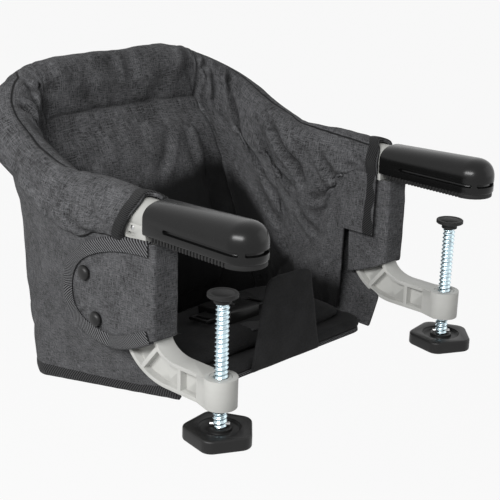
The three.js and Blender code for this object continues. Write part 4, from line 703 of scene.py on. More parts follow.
def fold_height(point, folds):
    """How far the folds lift or sink the cloth at a flat point, in metres."""
    height = 0.0
    for line, depth, width in folds:
        middle = (line[0] + line[-1]) / 2
        if (point - middle).length > (line[0] - line[-1]).length / 2 + 0.04:
            continue
        gap, place = along_line(point, line)
        if abs(gap) > 5 * width:
            continue
        fade = min(1, 4 * place + 0.1, 4 * (1 - place) + 0.1)
        lip = 0.9 * bell((gap - 1.7 * width) / width) + 0.35 * bell((gap + 2.2 * width) / (1.3 * width))
        height += depth * fade * (lip - bell(gap / width))
    return height


def folds_of(rows, deeper=1.0):
    return [
        ([Vector((x / 1000, y / 1000)) for x, y in line], deeper * depth / 1000, width / 1000)
        for line, depth, width in rows
    ]


def waves(point, size, seed):
    return noise.noise(Vector((point[0] / size, point[1] / size, seed)))


def cloth_grid(columns, rows, place, flip=False):
    """A sheet of cloth: place(u, v) gives the point and its flat place on the cloth."""
    bm = bmesh.new()
    bmesh.ops.create_grid(bm, x_segments=columns, y_segments=rows, size=0.5)
    weave = bm.verts.layers.float_vector.new("weave")
    seams = bm.verts.layers.float_vector.new("seams")
    for vert in bm.verts:
        point, flat = place(vert.co.x + 0.5, vert.co.y + 0.5)
        vert.co = point
        vert[weave] = Vector((*flat, 0)[:3])
        vert[seams] = Vector((1, 1, 1))
    if flip:
        bmesh.ops.reverse_faces(bm, faces=bm.faces)
    bm.normal_update()
    return bm


def rolled(columns, rows, place, gap):
    """A grid that closes on itself, with its seam joined and its ends filled."""
    bm = cloth_grid(columns, rows, place)
    bmesh.ops.remove_doubles(bm, verts=bm.verts, dist=gap)
    bmesh.ops.holes_fill(bm, edges=bm.edges, sides=0)
    bmesh.ops.recalc_face_normals(bm, faces=bm.faces)
    return bm


def shaped(bm, height_at):
    """Lifts each vertex along its normal by a height that depends on its flat place."""
    bm.normal_update()
    weave = bm.verts.layers.float_vector["weave"]
    lifts = [(vert, vert.normal * height_at(vert[weave])) for vert in bm.verts]
    for vert, lift in lifts:
        vert.co += lift
    bm.normal_update()
    return bm


def stitched(bm, marks_at):
    """Marks how far each vertex is from two dark lines, a stitched seam and an edge whose line is partly
    painted shadow, and how far it is out of a fold's painted crease shade.
    """
    weave = bm.verts.layers.float_vector["weave"]
    seams = bm.verts.layers.float_vector["seams"]
    for vert in bm.verts:
        vert[seams] = Vector(marks_at(vert[weave]))
    return bm


def simulated(trial, **settings):
    """The shape of an object after 20 frames as cloth without gravity. The object is removed."""
    cloth = trial.modifiers.new("cloth", "CLOTH")
    for name, value in settings.items():
        setattr(cloth.settings, name, value)
    cloth.settings.quality = 4
    cloth.settings.effector_weights.gravity = 0
    for step in range(1, 21):
        bpy.context.scene.frame_set(step)
    result = baked(trial)
    bpy.context.scene.frame_set(1)
    return result


def settled(bm, shrink, cap, is_held, sink=0.0):
    """Lets the cloth crumple between its sewn edges, sinking no deeper than a given depth."""
    bm.verts.index_update()
    weave = bm.verts.layers.float_vector["weave"]
    sewn = [vert.index for vert in bm.verts if vert.is_boundary or is_held(vert[weave])]
    before = [(vert.co.copy(), vert.normal.copy()) for vert in bm.verts]
    trial = loose(bm)
    group = trial.vertex_groups.new(name="sewn edge")
    group.add(sewn, 1.0, "REPLACE")
    stiffness = {"tension_stiffness": 20, "compression_stiffness": 20, "shear_stiffness": 6}
    held = {"vertex_group_mass": group.name, "shrink_min": shrink}
    result = simulated(trial, mass=0.3, bending_stiffness=0.6, **stiffness, **held)
    for vert, (start, up) in zip(result.verts, before):
        move = vert.co - start
        move -= up * min(move.dot(up) + sink, 0)
        if move.length > cap:
            move = move.normalized() * cap
        vert.co = start + move
    result.normal_update()
    return result


def finer(piece):
    modifier = piece.modifiers.new("finer", "SUBSURF")
    modifier.levels = modifier.render_levels = 1
    return piece


def walled(piece, thickness):
    wall = piece.modifiers.new("wall", "SOLIDIFY")
    wall.thickness = thickness
    wall.offset = -1
    return piece


def thickened(piece, thickness):
    return walled(finer(piece), thickness)


def remeshed(bm, voxel):
    base = loose(bm)
    remesh = base.modifiers.new("remesh", "REMESH")
    remesh.mode = "VOXEL"
    remesh.voxel_size = voxel
    remesh.adaptivity = 0
    return baked(base)


def eased(bm, rounds):
    every_way = {"use_axis_x": True, "use_axis_y": True, "use_axis_z": True}
    for _ in range(rounds):
        bmesh.ops.smooth_vert(bm, verts=bm.verts, factor=0.5, **every_way)
    bm.normal_update()
    return bm


def with_weave(bm, flat_at):
    weave = bm.verts.layers.float_vector.new("weave")
    seams = bm.verts.layers.float_vector.new("seams")
    for vert in bm.verts:
        vert[weave] = Vector(flat_at(vert.co))
        vert[seams] = Vector((1, 1, 1))
    return bm


# Sleeves and roll, each one sheet with the cloth that hangs from it inside the seat. The folds
# are drawn on the flat cloth: millimetres along the tube from the right arm's front end, then
# millimetres from the crown, positive outside. The left side's run from its own front end.
# The first stretch of each side, as long as CLAMP_SPACE, stays still beside the clamp arm.

CLOTH_FRONT = TUBE_REACH + SLEEVE_FRONT
CLOTH_SEAM = 0.366
CLOTH_WIDTH = 0.264
SEAM_GAP = 0.0002
CLAMP_SPACE = 0.022
CROWN_SHARE = 0.2343
SKIRT_SHARE = 0.117
EDGE_SHARE = 0.4686


def wall_inside(z):
    """How far back the inner face of the back wall lies at a height."""
    low = base_bottom(BASE_BACK + FOOT_OUT)
    top = ARM_Z + BACK_RISE - WALL_TUCK
    return wall_outline(min(max((z - low) / (top - low), 0), 1))[2] - WALL_THICKNESS


LINING_RISE = 0.0113
LINING_INSET = 0.0015
LINING_GAP = 0.0042


def inner_rest(d, level, edge):
    """A place of the lining before its top is drawn to the sleeve's edge."""
    along = min((d - CLOTH_FRONT) / (ARM_LENGTH - CLOTH_FRONT), 1)
    turn = min(max((d - ARM_LENGTH) / CORNER_LENGTH, 0), 1) * math.pi / 2
    across = max((d - ARM_LENGTH - CORNER_LENGTH) / BACK_HALF, 0)
    away = SLEEVE_HALF - DRAW_IN
    radius = mix(BASE_CORNER, CORNER_RADIUS - away, level)
    rear_z = mix(base_bottom(BASE_BACK) + LINING_RISE, edge.z, level)
    back = mix(BASE_BACK - LINING_INSET, BACK_Y - away, level)
    back = min(back, wall_inside(rear_z) - LINING_GAP)
    corner = back - radius
    y = mix(WALL_FRONT, corner, along) + radius * math.sin(turn)
    half = mix(base_half(min(y, corner)) - LINING_INSET, ARM_X - away, level)
    x = (half - radius * (1 - math.cos(turn))) * (1 - across)
    return Vector((-x, y, mix(base_bottom(y) + LINING_RISE, edge.z, level)))


def inner_point(distance, level):
    """The cloth inside the seat, from the base at level 0 to the sleeve's edge at level 1."""
    d = from_end(distance)
    edge = sleeve_point(d, 1)
    steep = mix(60, 4, smooth((d - CLOTH_FRONT) / 0.05))
    point = inner_rest(d, level, edge) + (edge - inner_rest(d, 1, edge)) * level**steep
    if distance > RAIL_HALF:
        point.x = -point.x
    return point


def cloth_point(distance, v):
    """A point of the sheet, from the outer edge at 0 over the tube and down to the base at 1."""
    if v <= SKIRT_SHARE:
        return sleeve_point(distance, OUTER_SHARE * v / SKIRT_SHARE)
    arch_end = 2 * CROWN_SHARE - SKIRT_SHARE
    if v <= arch_end:
        t = (v - SKIRT_SHARE) / (arch_end - SKIRT_SHARE)
        return sleeve_point(distance, mix(OUTER_SHARE, INNER_SHARE, t))
    if v <= EDGE_SHARE:
        t = (v - arch_end) / (EDGE_SHARE - arch_end)
        return sleeve_point(distance, mix(INNER_SHARE, 1, t))
    return inner_point(distance, (1 - v) / (1 - EDGE_SHARE))


# Each row: the fold's line on the flat cloth, its depth and its half width, in millimetres.
SIDE_FOLDS = [
    ([(345, -6), (341, -14), (350, -26)], 2.8, 4.0),
    ([(309, -5), (309, -18), (301, -28)], 3.2, 4.2),
    ([(363, -42), (367, -58), (367, -70)], 1.6, 3.5),
    ([(183, 30), (183, 44), (169, 54), (147, 62)], 2.2, 4.5),
    ([(205, 36), (216, 50), (210, 60)], 1.8, 4.0),
    ([(160, 22), (150, 38), (128, 50)], 1.7, 4.5),
    ([(262, 20), (256, 40), (262, 56)], 1.5, 4.5),
    ([(300, 12), (306, 34), (298, 54)], 1.6, 4.5),
    ([(350, 14), (346, 32), (352, 50)], 1.5, 4.0),
    ([(354, -6), (365, -48), (385, -76)], 2.6, 4.5),
    ([(334, -14), (330, -31), (329, -58)], 2.2, 4.0),
    ([(310, -24), (292, -46), (284, -66), (265, -82)], 3.6, 5.0),
    ([(244, -14), (238, -23), (220, -41), (200, -51), (189, -76)], 4.2, 4.2),
    ([(258, -34), (245, -54), (231, -71), (207, -80)], 3.0, 4.2),
    ([(172, -28), (167, -39), (152, -59), (136, -66)], 3.2, 3.8),
    ([(132, -26), (127, -34), (114, -48)], 1.6, 3.6),
    ([(192, -82), (160, -80), (120, -71), (109, -56)], 3.0, 4.6),
    ([(286, -70), (262, -96), (232, -112)], 2.4, 5.0),
    ([(300, -104), (272, -122), (240, -134)], 2.0, 5.5),
    ([(212, -92), (190, -112), (160, -126)], 1.8, 5.0),
]
BACK_FOLDS = [
    ([(376, -6), (380, -24), (390, -44)], 1.5, 7.0),
    ([(418, -26), (424, -46), (440, -66)], 1.2, 8.0),
    ([(462, -2), (458, -20), (466, -40)], 1.3, 7.5),
    ([(384, 20), (388, 40), (382, 56)], 1.2, 6.5),
    ([(440, 18), (432, 40), (428, 60)], 1.0, 8.0),
]

# The stitched ridge along the crown, in the same millimetres
RIDGE_SEAM = [(376, 66), (366, 30), (358, 8), (345, 1), (309, 2), (252, 1.5), (225, 0)]
RIDGE_SEAM += [(202, -5), (183, -9), (150, -12), (95, -14)]

# Where the cloth inside turns from heather to black, partly black lining and partly painted shade, in the
# same millimetres
BLACK_AND_SHADE_EDGE = [(95, -178), (220, -172), (270, -150), (303, -132), (336, -116), (372, -112), (392, -104)]
BLACK_AND_SHADE_EDGE += [(480, -104)]


def height_of(line, place):
    """The second number of a drawn line at a given first number."""
    for (x0, y0), (x1, y1) in zip(line, line[1:]):
        if place <= x1:
            return mix(y0, y1, (place - x0) / (x1 - x0))
    return line[-1][1]


def seat_cloth(name, start, end, columns, mirrored, folds, nodes):
    def place(u, v):
        distance = mix(start, end, u)
        own = RAIL_LENGTH - distance if mirrored else distance
        out = (CROWN_SHARE - v) * CLOTH_WIDTH
        # The weave's third number is the height above the line where black lining and painted shade
        # begin.
        edge = height_of(BLACK_AND_SHADE_EDGE, from_end(distance) * 1000)
        return cloth_point(distance, v), (own, out, edge / 1000 - out)

    first, last = (RAIL_LENGTH - end, RAIL_LENGTH - start) if mirrored else (start, end)
    bm = cloth_grid(columns, 92, place, flip=True)
    still_to = CLOTH_FRONT + CLAMP_SPACE
    bm = settled(bm, shrink=-0.035, cap=0.004, is_held=lambda flat: flat.x < still_to, sink=0.0014)
    lines = folds_of(folds, deeper=1.7)
    ridge = [Vector(p) / 1000 for p in RIDGE_SEAM]

    def own_place(flat):
        return Vector((from_end(flat.x), flat.y))

    def height(flat):
        soft = 0.0017 * waves(flat, 0.042, 3) + 0.0006 * waves(flat, 0.013, 8)
        seam, _ = along_line(own_place(flat), ridge)
        welt = -0.0009 * bell(seam / 0.0022) + 0.0006 * bell((seam + 0.004) / 0.0022)
        deepest = mix(-0.0060, -0.0022, smooth((-0.050 - flat.y) / 0.020))
        sewn = smooth(min(abs(flat.x - side) for side in (first, last)) / 0.010)
        swell = 0.0026 * smooth((-0.045 - flat.y) / 0.020)
        clear = 0.0003 + 0.008 * smooth((flat.x - CLOTH_FRONT - 0.020) / 0.030)
        lift = min(swell + soft + fold_height(own_place(flat), lines), clear)
        return welt + sewn * max(lift, deepest)

    # The sleeve's lower edge gets a dark line, partly painted shadow under the edge.
    lower_edge = CROWN_SHARE * CLOTH_WIDTH - 0.0007

    def marks(flat):
        place = own_place(flat)
        # How far the cloth is out of the painted shade in a fold's crease.
        out_of_crease_shade = 1 + min(fold_height(place, lines), 0) / 0.008
        return along_line(place, ridge)[0], max(lower_edge - flat.y, 0), out_of_crease_shade

    stitched(shaped(bm, height), marks)
    piece = thickened(piece_of(bm, name, inner_heather, nodes), 0.003)


def make_seat_cloth():
    front, seam, far = CLOTH_FRONT, CLOTH_SEAM, RAIL_LENGTH
    right = ("arm_sleeve_right", "side_lining_right")
    left = ("arm_sleeve_left", "side_lining_left")
    seat_cloth("right_side_cloth", front, seam, 100, False, SIDE_FOLDS, right)
    seat_cloth("left_side_cloth", far - seam, far - front, 100, True, SIDE_FOLDS, left)
    front, far = seam + SEAM_GAP, far - seam - SEAM_GAP
    seat_cloth("back_cloth", front, far, 72, False, BACK_FOLDS, ("back_roll",))


def sleeve_tape(name, side):
    width = 0.0125

    def place(u, v):
        across = u * (2 * width) - width
        edge = smooth(abs(across) / 0.0015)
        grown = mix(-0.0015, 0.0012 if across > 0 else -0.0045, edge)
        distance = CLOTH_FRONT + abs(across) - 0.0008
        if side > 0:
            distance = RAIL_LENGTH - distance
        puff = 0.0004 * (1 - (2 * abs(across) / width - 1) ** 2)
        return sleeve_point(distance, mix(0.004, 0.996, v), grown + puff), (across, v * 0.124)

    bm = cloth_grid(16, 60, place, flip=side < 0)
    shaped(bm, lambda flat: 0.0002 * waves(flat, 0.008, 5))
    thickened(piece_of(bm, name + "_tape", front_binding, (name,)), 0.0008)


# Seat walls and hem

# Millimetres round the wall from the right front edge, then up from its foot
WALL_FOLDS = [
    ([(60, 205), (96, 190), (150, 182)], 1.8, 6.0),
    ([(140, 214), (176, 196), (220, 192)], 1.8, 6.0),
    ([(230, 60), (250, 110), (246, 170)], 1.6, 9.0),
    ([(180, 30), (196, 90), (190, 140)], 1.2, 9.0),
    ([(300, 50), (296, 120), (306, 190)], 1.4, 9.0),
]


def make_walls():
    def place(u, v):
        return wall_point(u, v)[0], (u * WALL_ROUND, v * WALL_HEIGHT)

    def is_held(flat):
        under_flap = min(flat.x, WALL_ROUND - flat.x) < 0.115
        return under_flap or not 0.026 < flat.y < 0.186

    bm = settled(cloth_grid(190, 60, place), shrink=-0.020, cap=0.0025, is_held=is_held)
    lines = folds_of(WALL_FOLDS)

    def height(flat):
        soft = 0.0018 * waves(flat, 0.060, 2) + 0.0007 * waves(flat, 0.022, 6)
        round_to = min(flat.x, WALL_ROUND - flat.x)
        folds = fold_height(Vector((round_to, flat.y)), lines)
        calm = smooth((round_to - 0.105) / 0.04)
        lift = (soft + folds) * smooth((flat.y - 0.010) / 0.030)
        return max(lift, -0.0012) * (0.06 + 0.94 * calm) * (1 - 0.8 * smooth((flat.y - 0.17) / 0.03))

    shaped(bm, height)
    piece = piece_of(bm, "seat_wall_cloth", heather, ("seat_shell",))
    thickened(piece, 0.0032)


def make_hem():
    def place(u, v):
        rise = 1 + 0.6 * smooth((abs(2 * u - 1) - 0.86) / 0.14)
        puff = 0.0012 * math.sin(math.pi * v)
        point, _ = wall_point(u, v * HEM_TOP * rise, 0.0019 + puff)
        point.z -= 0.0012 * (1 - v)
        return point, (u * WALL_ROUND, v * 0.012)

    bm = cloth_grid(220, 8, place)
    shaped(bm, lambda flat: 0.0003 * waves(flat, 0.010, 4))
    thickened(piece_of(bm, "base_hem_tape", hem_tape, ("base_hem",)), 0.0009)


# The front corner of each side's inner cloth, which the clamp arm pushes up as it folds


def front_corner(side_name, side):
    low, high = -0.062, 0.001
    face, lean = 0.1392, 0.0012
    front, tape_width = 0.0152, 0.0135

    def place(u, v):
        y, z = mix(front, 0.056 + 0.004 * v, u), mix(high, low, v)
        return Vector((side * (face - lean * v), y, z)), (y + 0.08, z - 0.05, -1)

    def edging(u, v):
        across, z = u * tape_width, mix(high, low, v)
        puff = 0.0008 + 0.0005 * math.sin(math.pi * u)
        return Vector((side * (face - lean * v - puff), front - 0.0004 + across, z)), (across, z)

    bm = cloth_grid(20, 30, place, flip=side > 0)
    shaped(bm, lambda flat: 0.0005 * waves(flat, 0.016, 2) * smooth((-0.052 - flat.y) / 0.01))
    piece = piece_of(bm, "front_corner_cloth_" + side_name, inner_heather)
    thickened(piece, 0.0018)
    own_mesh(piece)
    bm = cloth_grid(10, 24, edging, flip=side > 0)
    piece = piece_of(bm, "front_corner_tape_" + side_name, front_binding)
    thickened(piece, 0.0008)
    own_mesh(piece)


# Side flaps round the clamp arms, with their bindings and snaps

FLAP_FACE = 0.1717


def curve_through(start, control, end, steps):
    shares = [(i + 1) / steps for i in range(steps)]
    return [start * (1 - t) ** 2 + control * (2 * t * (1 - t)) + end * t**2 for t in shares]


def flap_line():
    """The flap's edge from its top front corner round to its bottom front one, in Y and Z."""
    corners = [(-2, -3), (57, -3), (94, -24), (120, -39), (120, -68), (120, -110), (57, -110)]
    corners += [(38, -110), (-2, -88)]
    points = [Vector((y / 1000, z / 1000)) for y, z in corners]
    line = [points[0]]
    for i in range(0, len(points) - 2, 2):
        line += curve_through(points[i], points[i + 1], points[i + 2], 24)
    return [p for p in line if p.x > 0.0035]


def flap_cloth(side_name, side):
    node = "side_flap_" + side_name
    bm = with_weave(eased(remeshed(merged(node), 0.0016), 4), lambda p: (p.y + abs(p.x), p.z, 0))
    line = flap_line()

    def height(flat):
        gap, _ = along_line(Vector((flat.x - FLAP_FACE, flat.y)), line)
        quilt = -0.0007 * bell(gap / 0.011)
        return quilt + 0.0008 * waves(flat, 0.028, 7 + side) + 0.0004 * waves(flat, 0.011, 3)

    piece = piece_of(shaped(bm, height), node + "_cloth", heather, (node,))
    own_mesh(piece)


def flap_tape(side_name, side):
    node = "flap_binding_" + side_name
    line = flap_line()
    width = 0.0122

    def place(u, v):
        spot = min(int(u * (len(line) - 1)), len(line) - 2)
        point = line[spot].lerp(line[spot + 1], u * (len(line) - 1) - spot)
        along = (line[min(spot + 2, len(line) - 1)] - line[max(spot - 1, 0)]).normalized()
        inward = Vector((along.y, -along.x))
        across = 2 * v - 1
        reach = max(0.0, abs(across) * (width + 0.003) - 0.003)
        puff = 0.0004 * math.sin(math.pi * min(reach / width, 1))
        x = FLAP_FACE + 0.0017 + puff if across > 0 else FLAP_FACE - 0.0032 - 0.0008 - puff
        edge = smooth(1 - abs(across) * (width + 0.003) / 0.003)
        x = mix(x, FLAP_FACE - 0.0016, edge)
        flat = point + inward * reach - inward * (0.0012 * edge)
        return Vector((side * x, flat.x, flat.y)), (u * 0.33, across * width)

    bm = cloth_grid(180, 18, place, flip=side > 0)
    shaped(bm, lambda flat: 0.00025 * waves(flat, 0.007, 5))
    piece = thickened(piece_of(bm, node + "_tape", binding, (node,)), 0.0007)
    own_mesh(piece)


def snap_stud(node, side, place, height):
    profile = [(0.0001, 0.0050), (0.0030, 0.0049), (0.0048, 0.0044), (0.0061, 0.0034), (0.0069, 0.0020)]
    profile += [(0.0070, 0.0008), (0.0066, 0.0001), (0.0058, -0.0008), (0.0001, -0.0008)]
    bm = facing_out(lathed(profile, 40), side, FLAP_FACE + 0.0012, place, height)
    hard_piece(bm, node, "_stud", knob_black, sharp=40)


# Base, seat pad, back cushion and front panel

CUSHION_SHRINK = 0.0015
CUSHION_PRESSURE = 4
CUSHION_SWELL = 0.004


def make_base():
    bm = with_weave(eased(remeshed(merged("base_board"), 0.003), 6), lambda p: (p.x, p.y + p.z, 0))
    shaped(bm, lambda flat: 0.0006 * waves(flat, 0.04, 9))
    piece = piece_of(bm, "base_cover", cover, ("base_board",))
    line = []
    for i in range(41):
        across = 2 * i / 40 - 1
        y = BASE_FRONT + 0.0012 + 0.016 * max(0, (abs(across) - 0.86) / 0.14) ** 2
        line.append(Vector((across * (BASE_FRONT_HALF - 0.001), y, base_bottom(y) + 0.0004)))
    piece_of(swept(line, 0.0019), "base_piping", binding, sharp=60)


def swept(line, radius):
    """A round cord along drawn points."""
    steps = len(line) - 1

    def place(u, v):
        spot = min(int(u * steps), steps - 1)
        point = line[spot].lerp(line[spot + 1], u * steps - spot)
        along = (line[min(spot + 2, steps)] - line[max(spot - 1, 0)]).normalized()
        beside = along.cross(Vector((0, 0, 1))).normalized()
        out = beside * math.cos(2 * math.pi * v) + beside.cross(along) * math.sin(2 * math.pi * v)
        return point + out * radius, (u * steps * 0.006, v * 2 * math.pi * radius)

    return rolled(steps * 2, 14, place, SAME_PLACE)


def swollen(bm, voxel):
    """Fills a cushion: a slightly smaller copy swells under pressure and stops at the cap."""
    bm.normal_update()
    for vert in bm.verts:
        vert.co -= vert.normal * CUSHION_SHRINK
    bm = remeshed(bm, voxel)
    before = [vert.co.copy() for vert in bm.verts]
    pressure = {"use_pressure": True, "uniform_pressure_force": CUSHION_PRESSURE}
    result = simulated(loose(bm), bending_stiffness=0.5, **pressure)
    for vert, start in zip(result.verts, before):
        move = vert.co - start
        if move.length > CUSHION_SWELL:
            vert.co = start + move.normalized() * CUSHION_SWELL
    return eased(result, 2)


def rim_of(node):
    """The outline of a cushion from the front, in X and Z, as a closed line round its widest shape."""
    points = sorted({(round(v.co.x, 5), round(v.co.z, 5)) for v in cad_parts[node].data.vertices})
    line = []
    for run in (points, points[::-1]):
        chain = []
        for point in run:
            while len(chain) > 1:
                (ax, az), (bx, bz) = chain[-2], chain[-1]
                if (bx - ax) * (point[1] - az) - (bz - az) * (point[0] - ax) > 0:
                    break
                chain.pop()
            chain.append(point)
        line += chain[:-1]
    return [Vector(point) for point in [*line, line[0]]]


# Millimetres across and up the back cushion
CUSHION_FOLDS = [
    ([(-96, 37), (-99, 26), (-103, 12)], 3.0, 5.0),
    ([(43, 30), (27, 4), (9, -16)], 2.6, 5.5),
    ([(-43, 38), (-57, 12)], 1.4, 7.0),
    ([(70, 36), (62, 10), (66, -20)], 2.0, 6.0),
    ([(-70, 10), (-62, -30)], 1.6, 6.0),
    ([(6, 38), (0, 12)], 1.3, 6.0),
]


def make_cushions():
    rim = rim_of("back_cushion")
    bm = swollen(merged("back_cushion"), 0.0036)
    # The weave's third number is the height above an arc; below it the cushion is black, partly a black
    # cover and partly painted shadow.
    with_weave(bm, lambda p: (p.x, p.z, 2 * p.x * p.x - 0.024 - p.z))
    lines = folds_of(CUSHION_FOLDS)

    def height(flat):
        edge = abs(along_line(flat.xy, rim)[0])
        ripple = math.sin(flat.x / 0.0024 + 3 * waves(flat, 0.03, 2))
        pucker = 0.0009 * ripple * bell((edge - 0.006) / 0.007)
        return 0.0014 * waves(flat, 0.045, 4) + pucker + fold_height(flat.xy, lines)

    shaped(bm, height)
    # A dark line round the cushion's rim: partly its seam, partly painted contact shadow.
    stitched(bm, lambda flat: (max(abs(along_line(flat.xy, rim)[0]) - 0.0012, 0), 1, 1))
    piece = piece_of(bm, "back_cushion_cloth", inner_heather, ("back_cushion",))
    finer(piece)
    bm = with_weave(swollen(merged("seat_pad"), 0.005), lambda p: (p.x, p.y, 0))
    shaped(bm, lambda flat: 0.001 * waves(flat, 0.045, 5))
    piece = finer(piece_of(bm, "seat_pad_cloth", cover, ("seat_pad",)))
    bm = with_weave(eased(remeshed(merged("crotch_panel"), 0.0015), 4), lambda p: (p.x, p.z, 0))
    shaped(bm, lambda flat: 0.0005 * waves(flat, 0.02, 5))
    piece = piece_of(bm, "crotch_panel_cloth", cover, ("crotch_panel",))


# Tube, hubs and grips


def make_tube():
    def place(u, v):
        distance = mix(0, RAIL_LENGTH, u)
        point, outward = rail(distance)
        ahead = rail(min(distance + 0.001, RAIL_LENGTH))[0]
        behind = rail(max(distance - 0.001, 0))[0]
        along = (ahead - behind).normalized()
        beside = (outward - along * outward.dot(along)).normalized()
        out = beside * math.cos(2 * math.pi * v) + along.cross(beside) * math.sin(2 * math.pi * v)
        return point + out * TUBE_RADIUS, (distance, v * 0.07)

    bm = cloth_grid(160, 40, place)
    bmesh.ops.remove_doubles(bm, verts=bm.verts, dist=SAME_PLACE)
    bmesh.ops.recalc_face_normals(bm, faces=bm.faces)
    walled(hard_piece(bm, "frame_tube", "_finished", steel, sharp=60), 0.0015)


GRIP_HALF = 0.0205
GRIP_CENTRE = -0.0855
GRIP_REAR = 0.012
GRIP_BOTTOM = 0.0042
GRIP_SHOULDER = 0.017
GRIP_NOSE_TOP = 0.0356
GRIP_REAR_TOP = 0.031
GRIP_ROUNDING = 0.0025
SLOT_HEIGHT = 0.0128
SLOT_HALF = 0.0016
SLOT_DEPTH = 0.0040
SIDE_SLOT = (-0.016, -0.0945)
NOSE_SLOT = math.radians(52)


def slot_depth(run, y, z):
    """How deep the slot is at a place on the grip's side: run is metres along the outline."""
    near_end = max(y - SIDE_SLOT[0], SIDE_SLOT[1] - y, 0)
    half_nose = GRIP_HALF * (math.pi / 2 - NOSE_SLOT)
    from_tip = abs(run - (GRIP_REAR - GRIP_CENTRE) - GRIP_HALF * math.pi / 2)
    near_nose = max(from_tip - half_nose, 0)
    beside = math.hypot(min(near_end, near_nose), z - SLOT_HEIGHT)
    return SLOT_DEPTH * smooth((SLOT_HALF + 0.0003 - beside) / 0.0005)


def grip_profile():
    """Rows up the grip, each a share of its half width and a height above the table."""
    rows = [(0.955, 0.0), (0.985, 0.0005), (1, 0.0013), (1, 0.003)]
    rows += [(1, 0.0056 + 0.00038 * i) for i in range(16)]
    rows = [(radius, GRIP_BOTTOM + rise) for radius, rise in rows]
    for i in range(21):
        angle = math.pi / 2 * i / 20
        lift = math.sin(angle) ** 0.85
        rows.append((math.cos(angle) ** 0.85 if i < 20 else 0, mix(GRIP_SHOULDER, GRIP_NOSE_TOP, lift)))
    return rows


def make_grip(side_name, side):
    rows = grip_profile()
    straight = GRIP_REAR - GRIP_CENTRE
    whole = 2 * straight + GRIP_HALF * math.pi

    def place(u, v):
        run = u * whole
        radius, z = rows[round(v * (len(rows) - 1))]
        if run < straight:
            spine, outward = GRIP_REAR - run, Vector((1, 0, 0))
        elif run > whole - straight:
            spine, outward = GRIP_REAR - (whole - run), Vector((-1, 0, 0))
        else:
            angle = (run - straight) / GRIP_HALF
            spine, outward = GRIP_CENTRE, Vector((math.cos(angle), -math.sin(angle), 0))
        reach = GRIP_HALF * radius
        y = spine + outward.y * reach
        reach -= slot_depth(run, y, z) if GRIP_BOTTOM < z < GRIP_SHOULDER else 0
        near = max(1 - min(run, whole - run) / GRIP_ROUNDING, 0)
        reach *= 1 - 0.10 * (1 - math.sqrt(1 - near * near))
        top = mix(GRIP_REAR_TOP, GRIP_NOSE_TOP, (GRIP_REAR - y) / straight) - 0.002 * near**2
        if z > GRIP_SHOULDER:
            raised = (z - GRIP_SHOULDER) / (GRIP_NOSE_TOP - GRIP_SHOULDER)
            z = GRIP_SHOULDER + raised * (top - GRIP_SHOULDER)
        return Vector((0, spine, z)) + outward * reach, (run, z)

    bm = rolled(420, len(rows) - 1, place, 2 * SAME_PLACE)
    bm = worked(bm, ("DIFFERENCE", rod_back(TUBE_RADIUS + 0.0003, -0.0826, 0.015, ARM_Z, 64)))
    moved(bm, to=(side * ARM_X, 0, 0))
    hard_piece(bm, "grip_" + side_name, "_shell", grip_black, sharp=42)
    softened("grip_pad_" + side_name, rubber, 0.00025)


def button_bar(x_low, x_high, grown):
    """A lock button's round-ended bar, which reaches out along X."""
    half, front, rear, z = 0.0021 + grown, 0.0276, 0.0344, -0.001
    ends = [rod(half, (x_low, y, z), (x_high, y, z), 32) for y in (front, rear)]
    middle = brick((x_low, front, z - half), (x_high, rear, z + half))
    return worked(ends[0], ("UNION", ends[1], middle))


def pin_hole():
    """The hole for the fold pin, through the hub's fork and the clamp arm's knuckle."""
    return rod_back(0.0033, 0.011, 0.041, FOLD_Z, 40)


def make_hub(side_name, side):
    collar = rod_back(0.015, 0.0126, 0.050, ARM_Z, 72)
    block = brick((-HUB_HALF, 0.0128, -0.0042), (HUB_HALF, 0.0496, 0.0092))
    cheeks = brick((-FORK_HALF, FORK_FRONT, FOLD_Z), (FORK_HALF, FORK_REAR, ARM_Z))
    ends = rod_back(FORK_HALF, FORK_FRONT, FORK_REAR, FOLD_Z, 56)
    knuckle = brick((-0.012, 0.0200, -0.026), (0.012, 0.0320, -0.0046))
    tube = rod_back(0.0113, 0.0096, 0.053, ARM_Z, 72)
    screw = rod(0.0026, (0, 0.044, -0.006), (0, 0.044, ARM_Z), 32)
    pocket = button_bar(*sorted((side * 0.0042, side * 0.016)), 0.0003)
    cuts = (knuckle, tube, pin_hole(), screw, pocket)
    body = worked(collar, ("UNION", block, cheeks, ends), ("DIFFERENCE", *cuts))
    moved(round_edges(body, 0.0006, 40), to=(side * ARM_X, 0, 0))
    hard_piece(body, "hub_" + side_name, "_body", nylon)
    button = round_edges(button_bar(*sorted((side * 0.006, side * 0.0108)), 0), 0.0005, 40)
    moved(button, to=(side * ARM_X, 0, 0))
    node = "lock_button_" + side_name
    hard_piece(button, node, "_body", nylon, "lock_" + side_name)
    rivet = lathed([(0, 0.0009), (0.0012, 0.0008), (0.0021, 0.0003), (0.0024, -0.001), (0, -0.001)], 32)
    facing_out(rivet, side, ARM_X + HUB_HALF, 0.0290, 0.0056)
    piece_of(rivet, "hub_rivet_" + side_name, steel, sharp=40)


# Clamp arm


def ellipse_arc(centre, reach, first, last, steps=24):
    angles = [mix(first, last, i / steps) for i in range(steps + 1)]
    return [(centre[0] + reach[0] * math.cos(a), centre[1] + reach[1] * math.sin(a)) for a in angles]


def beam_outline(inset, end):
    """The beam from the side, in Y and Z, drawn in from its edge."""
    top, bottom = BEAM_TOP - inset, BEAM_BOTTOM + inset
    front, rear = 0.005 + inset, 0.048 - inset
    spine_top = SPINE_TOP - inset
    inner = ellipse_arc((-0.021, -0.088), (0.026 + inset, 0.016 + inset), 0, -math.pi / 2)
    outer = ellipse_arc((-0.008, -0.086), (0.056 - inset, 0.044 - inset), -math.pi / 2, 0)
    return [(front, spine_top), *inner, (end, top), (end, bottom), *outer, (rear, spine_top)]


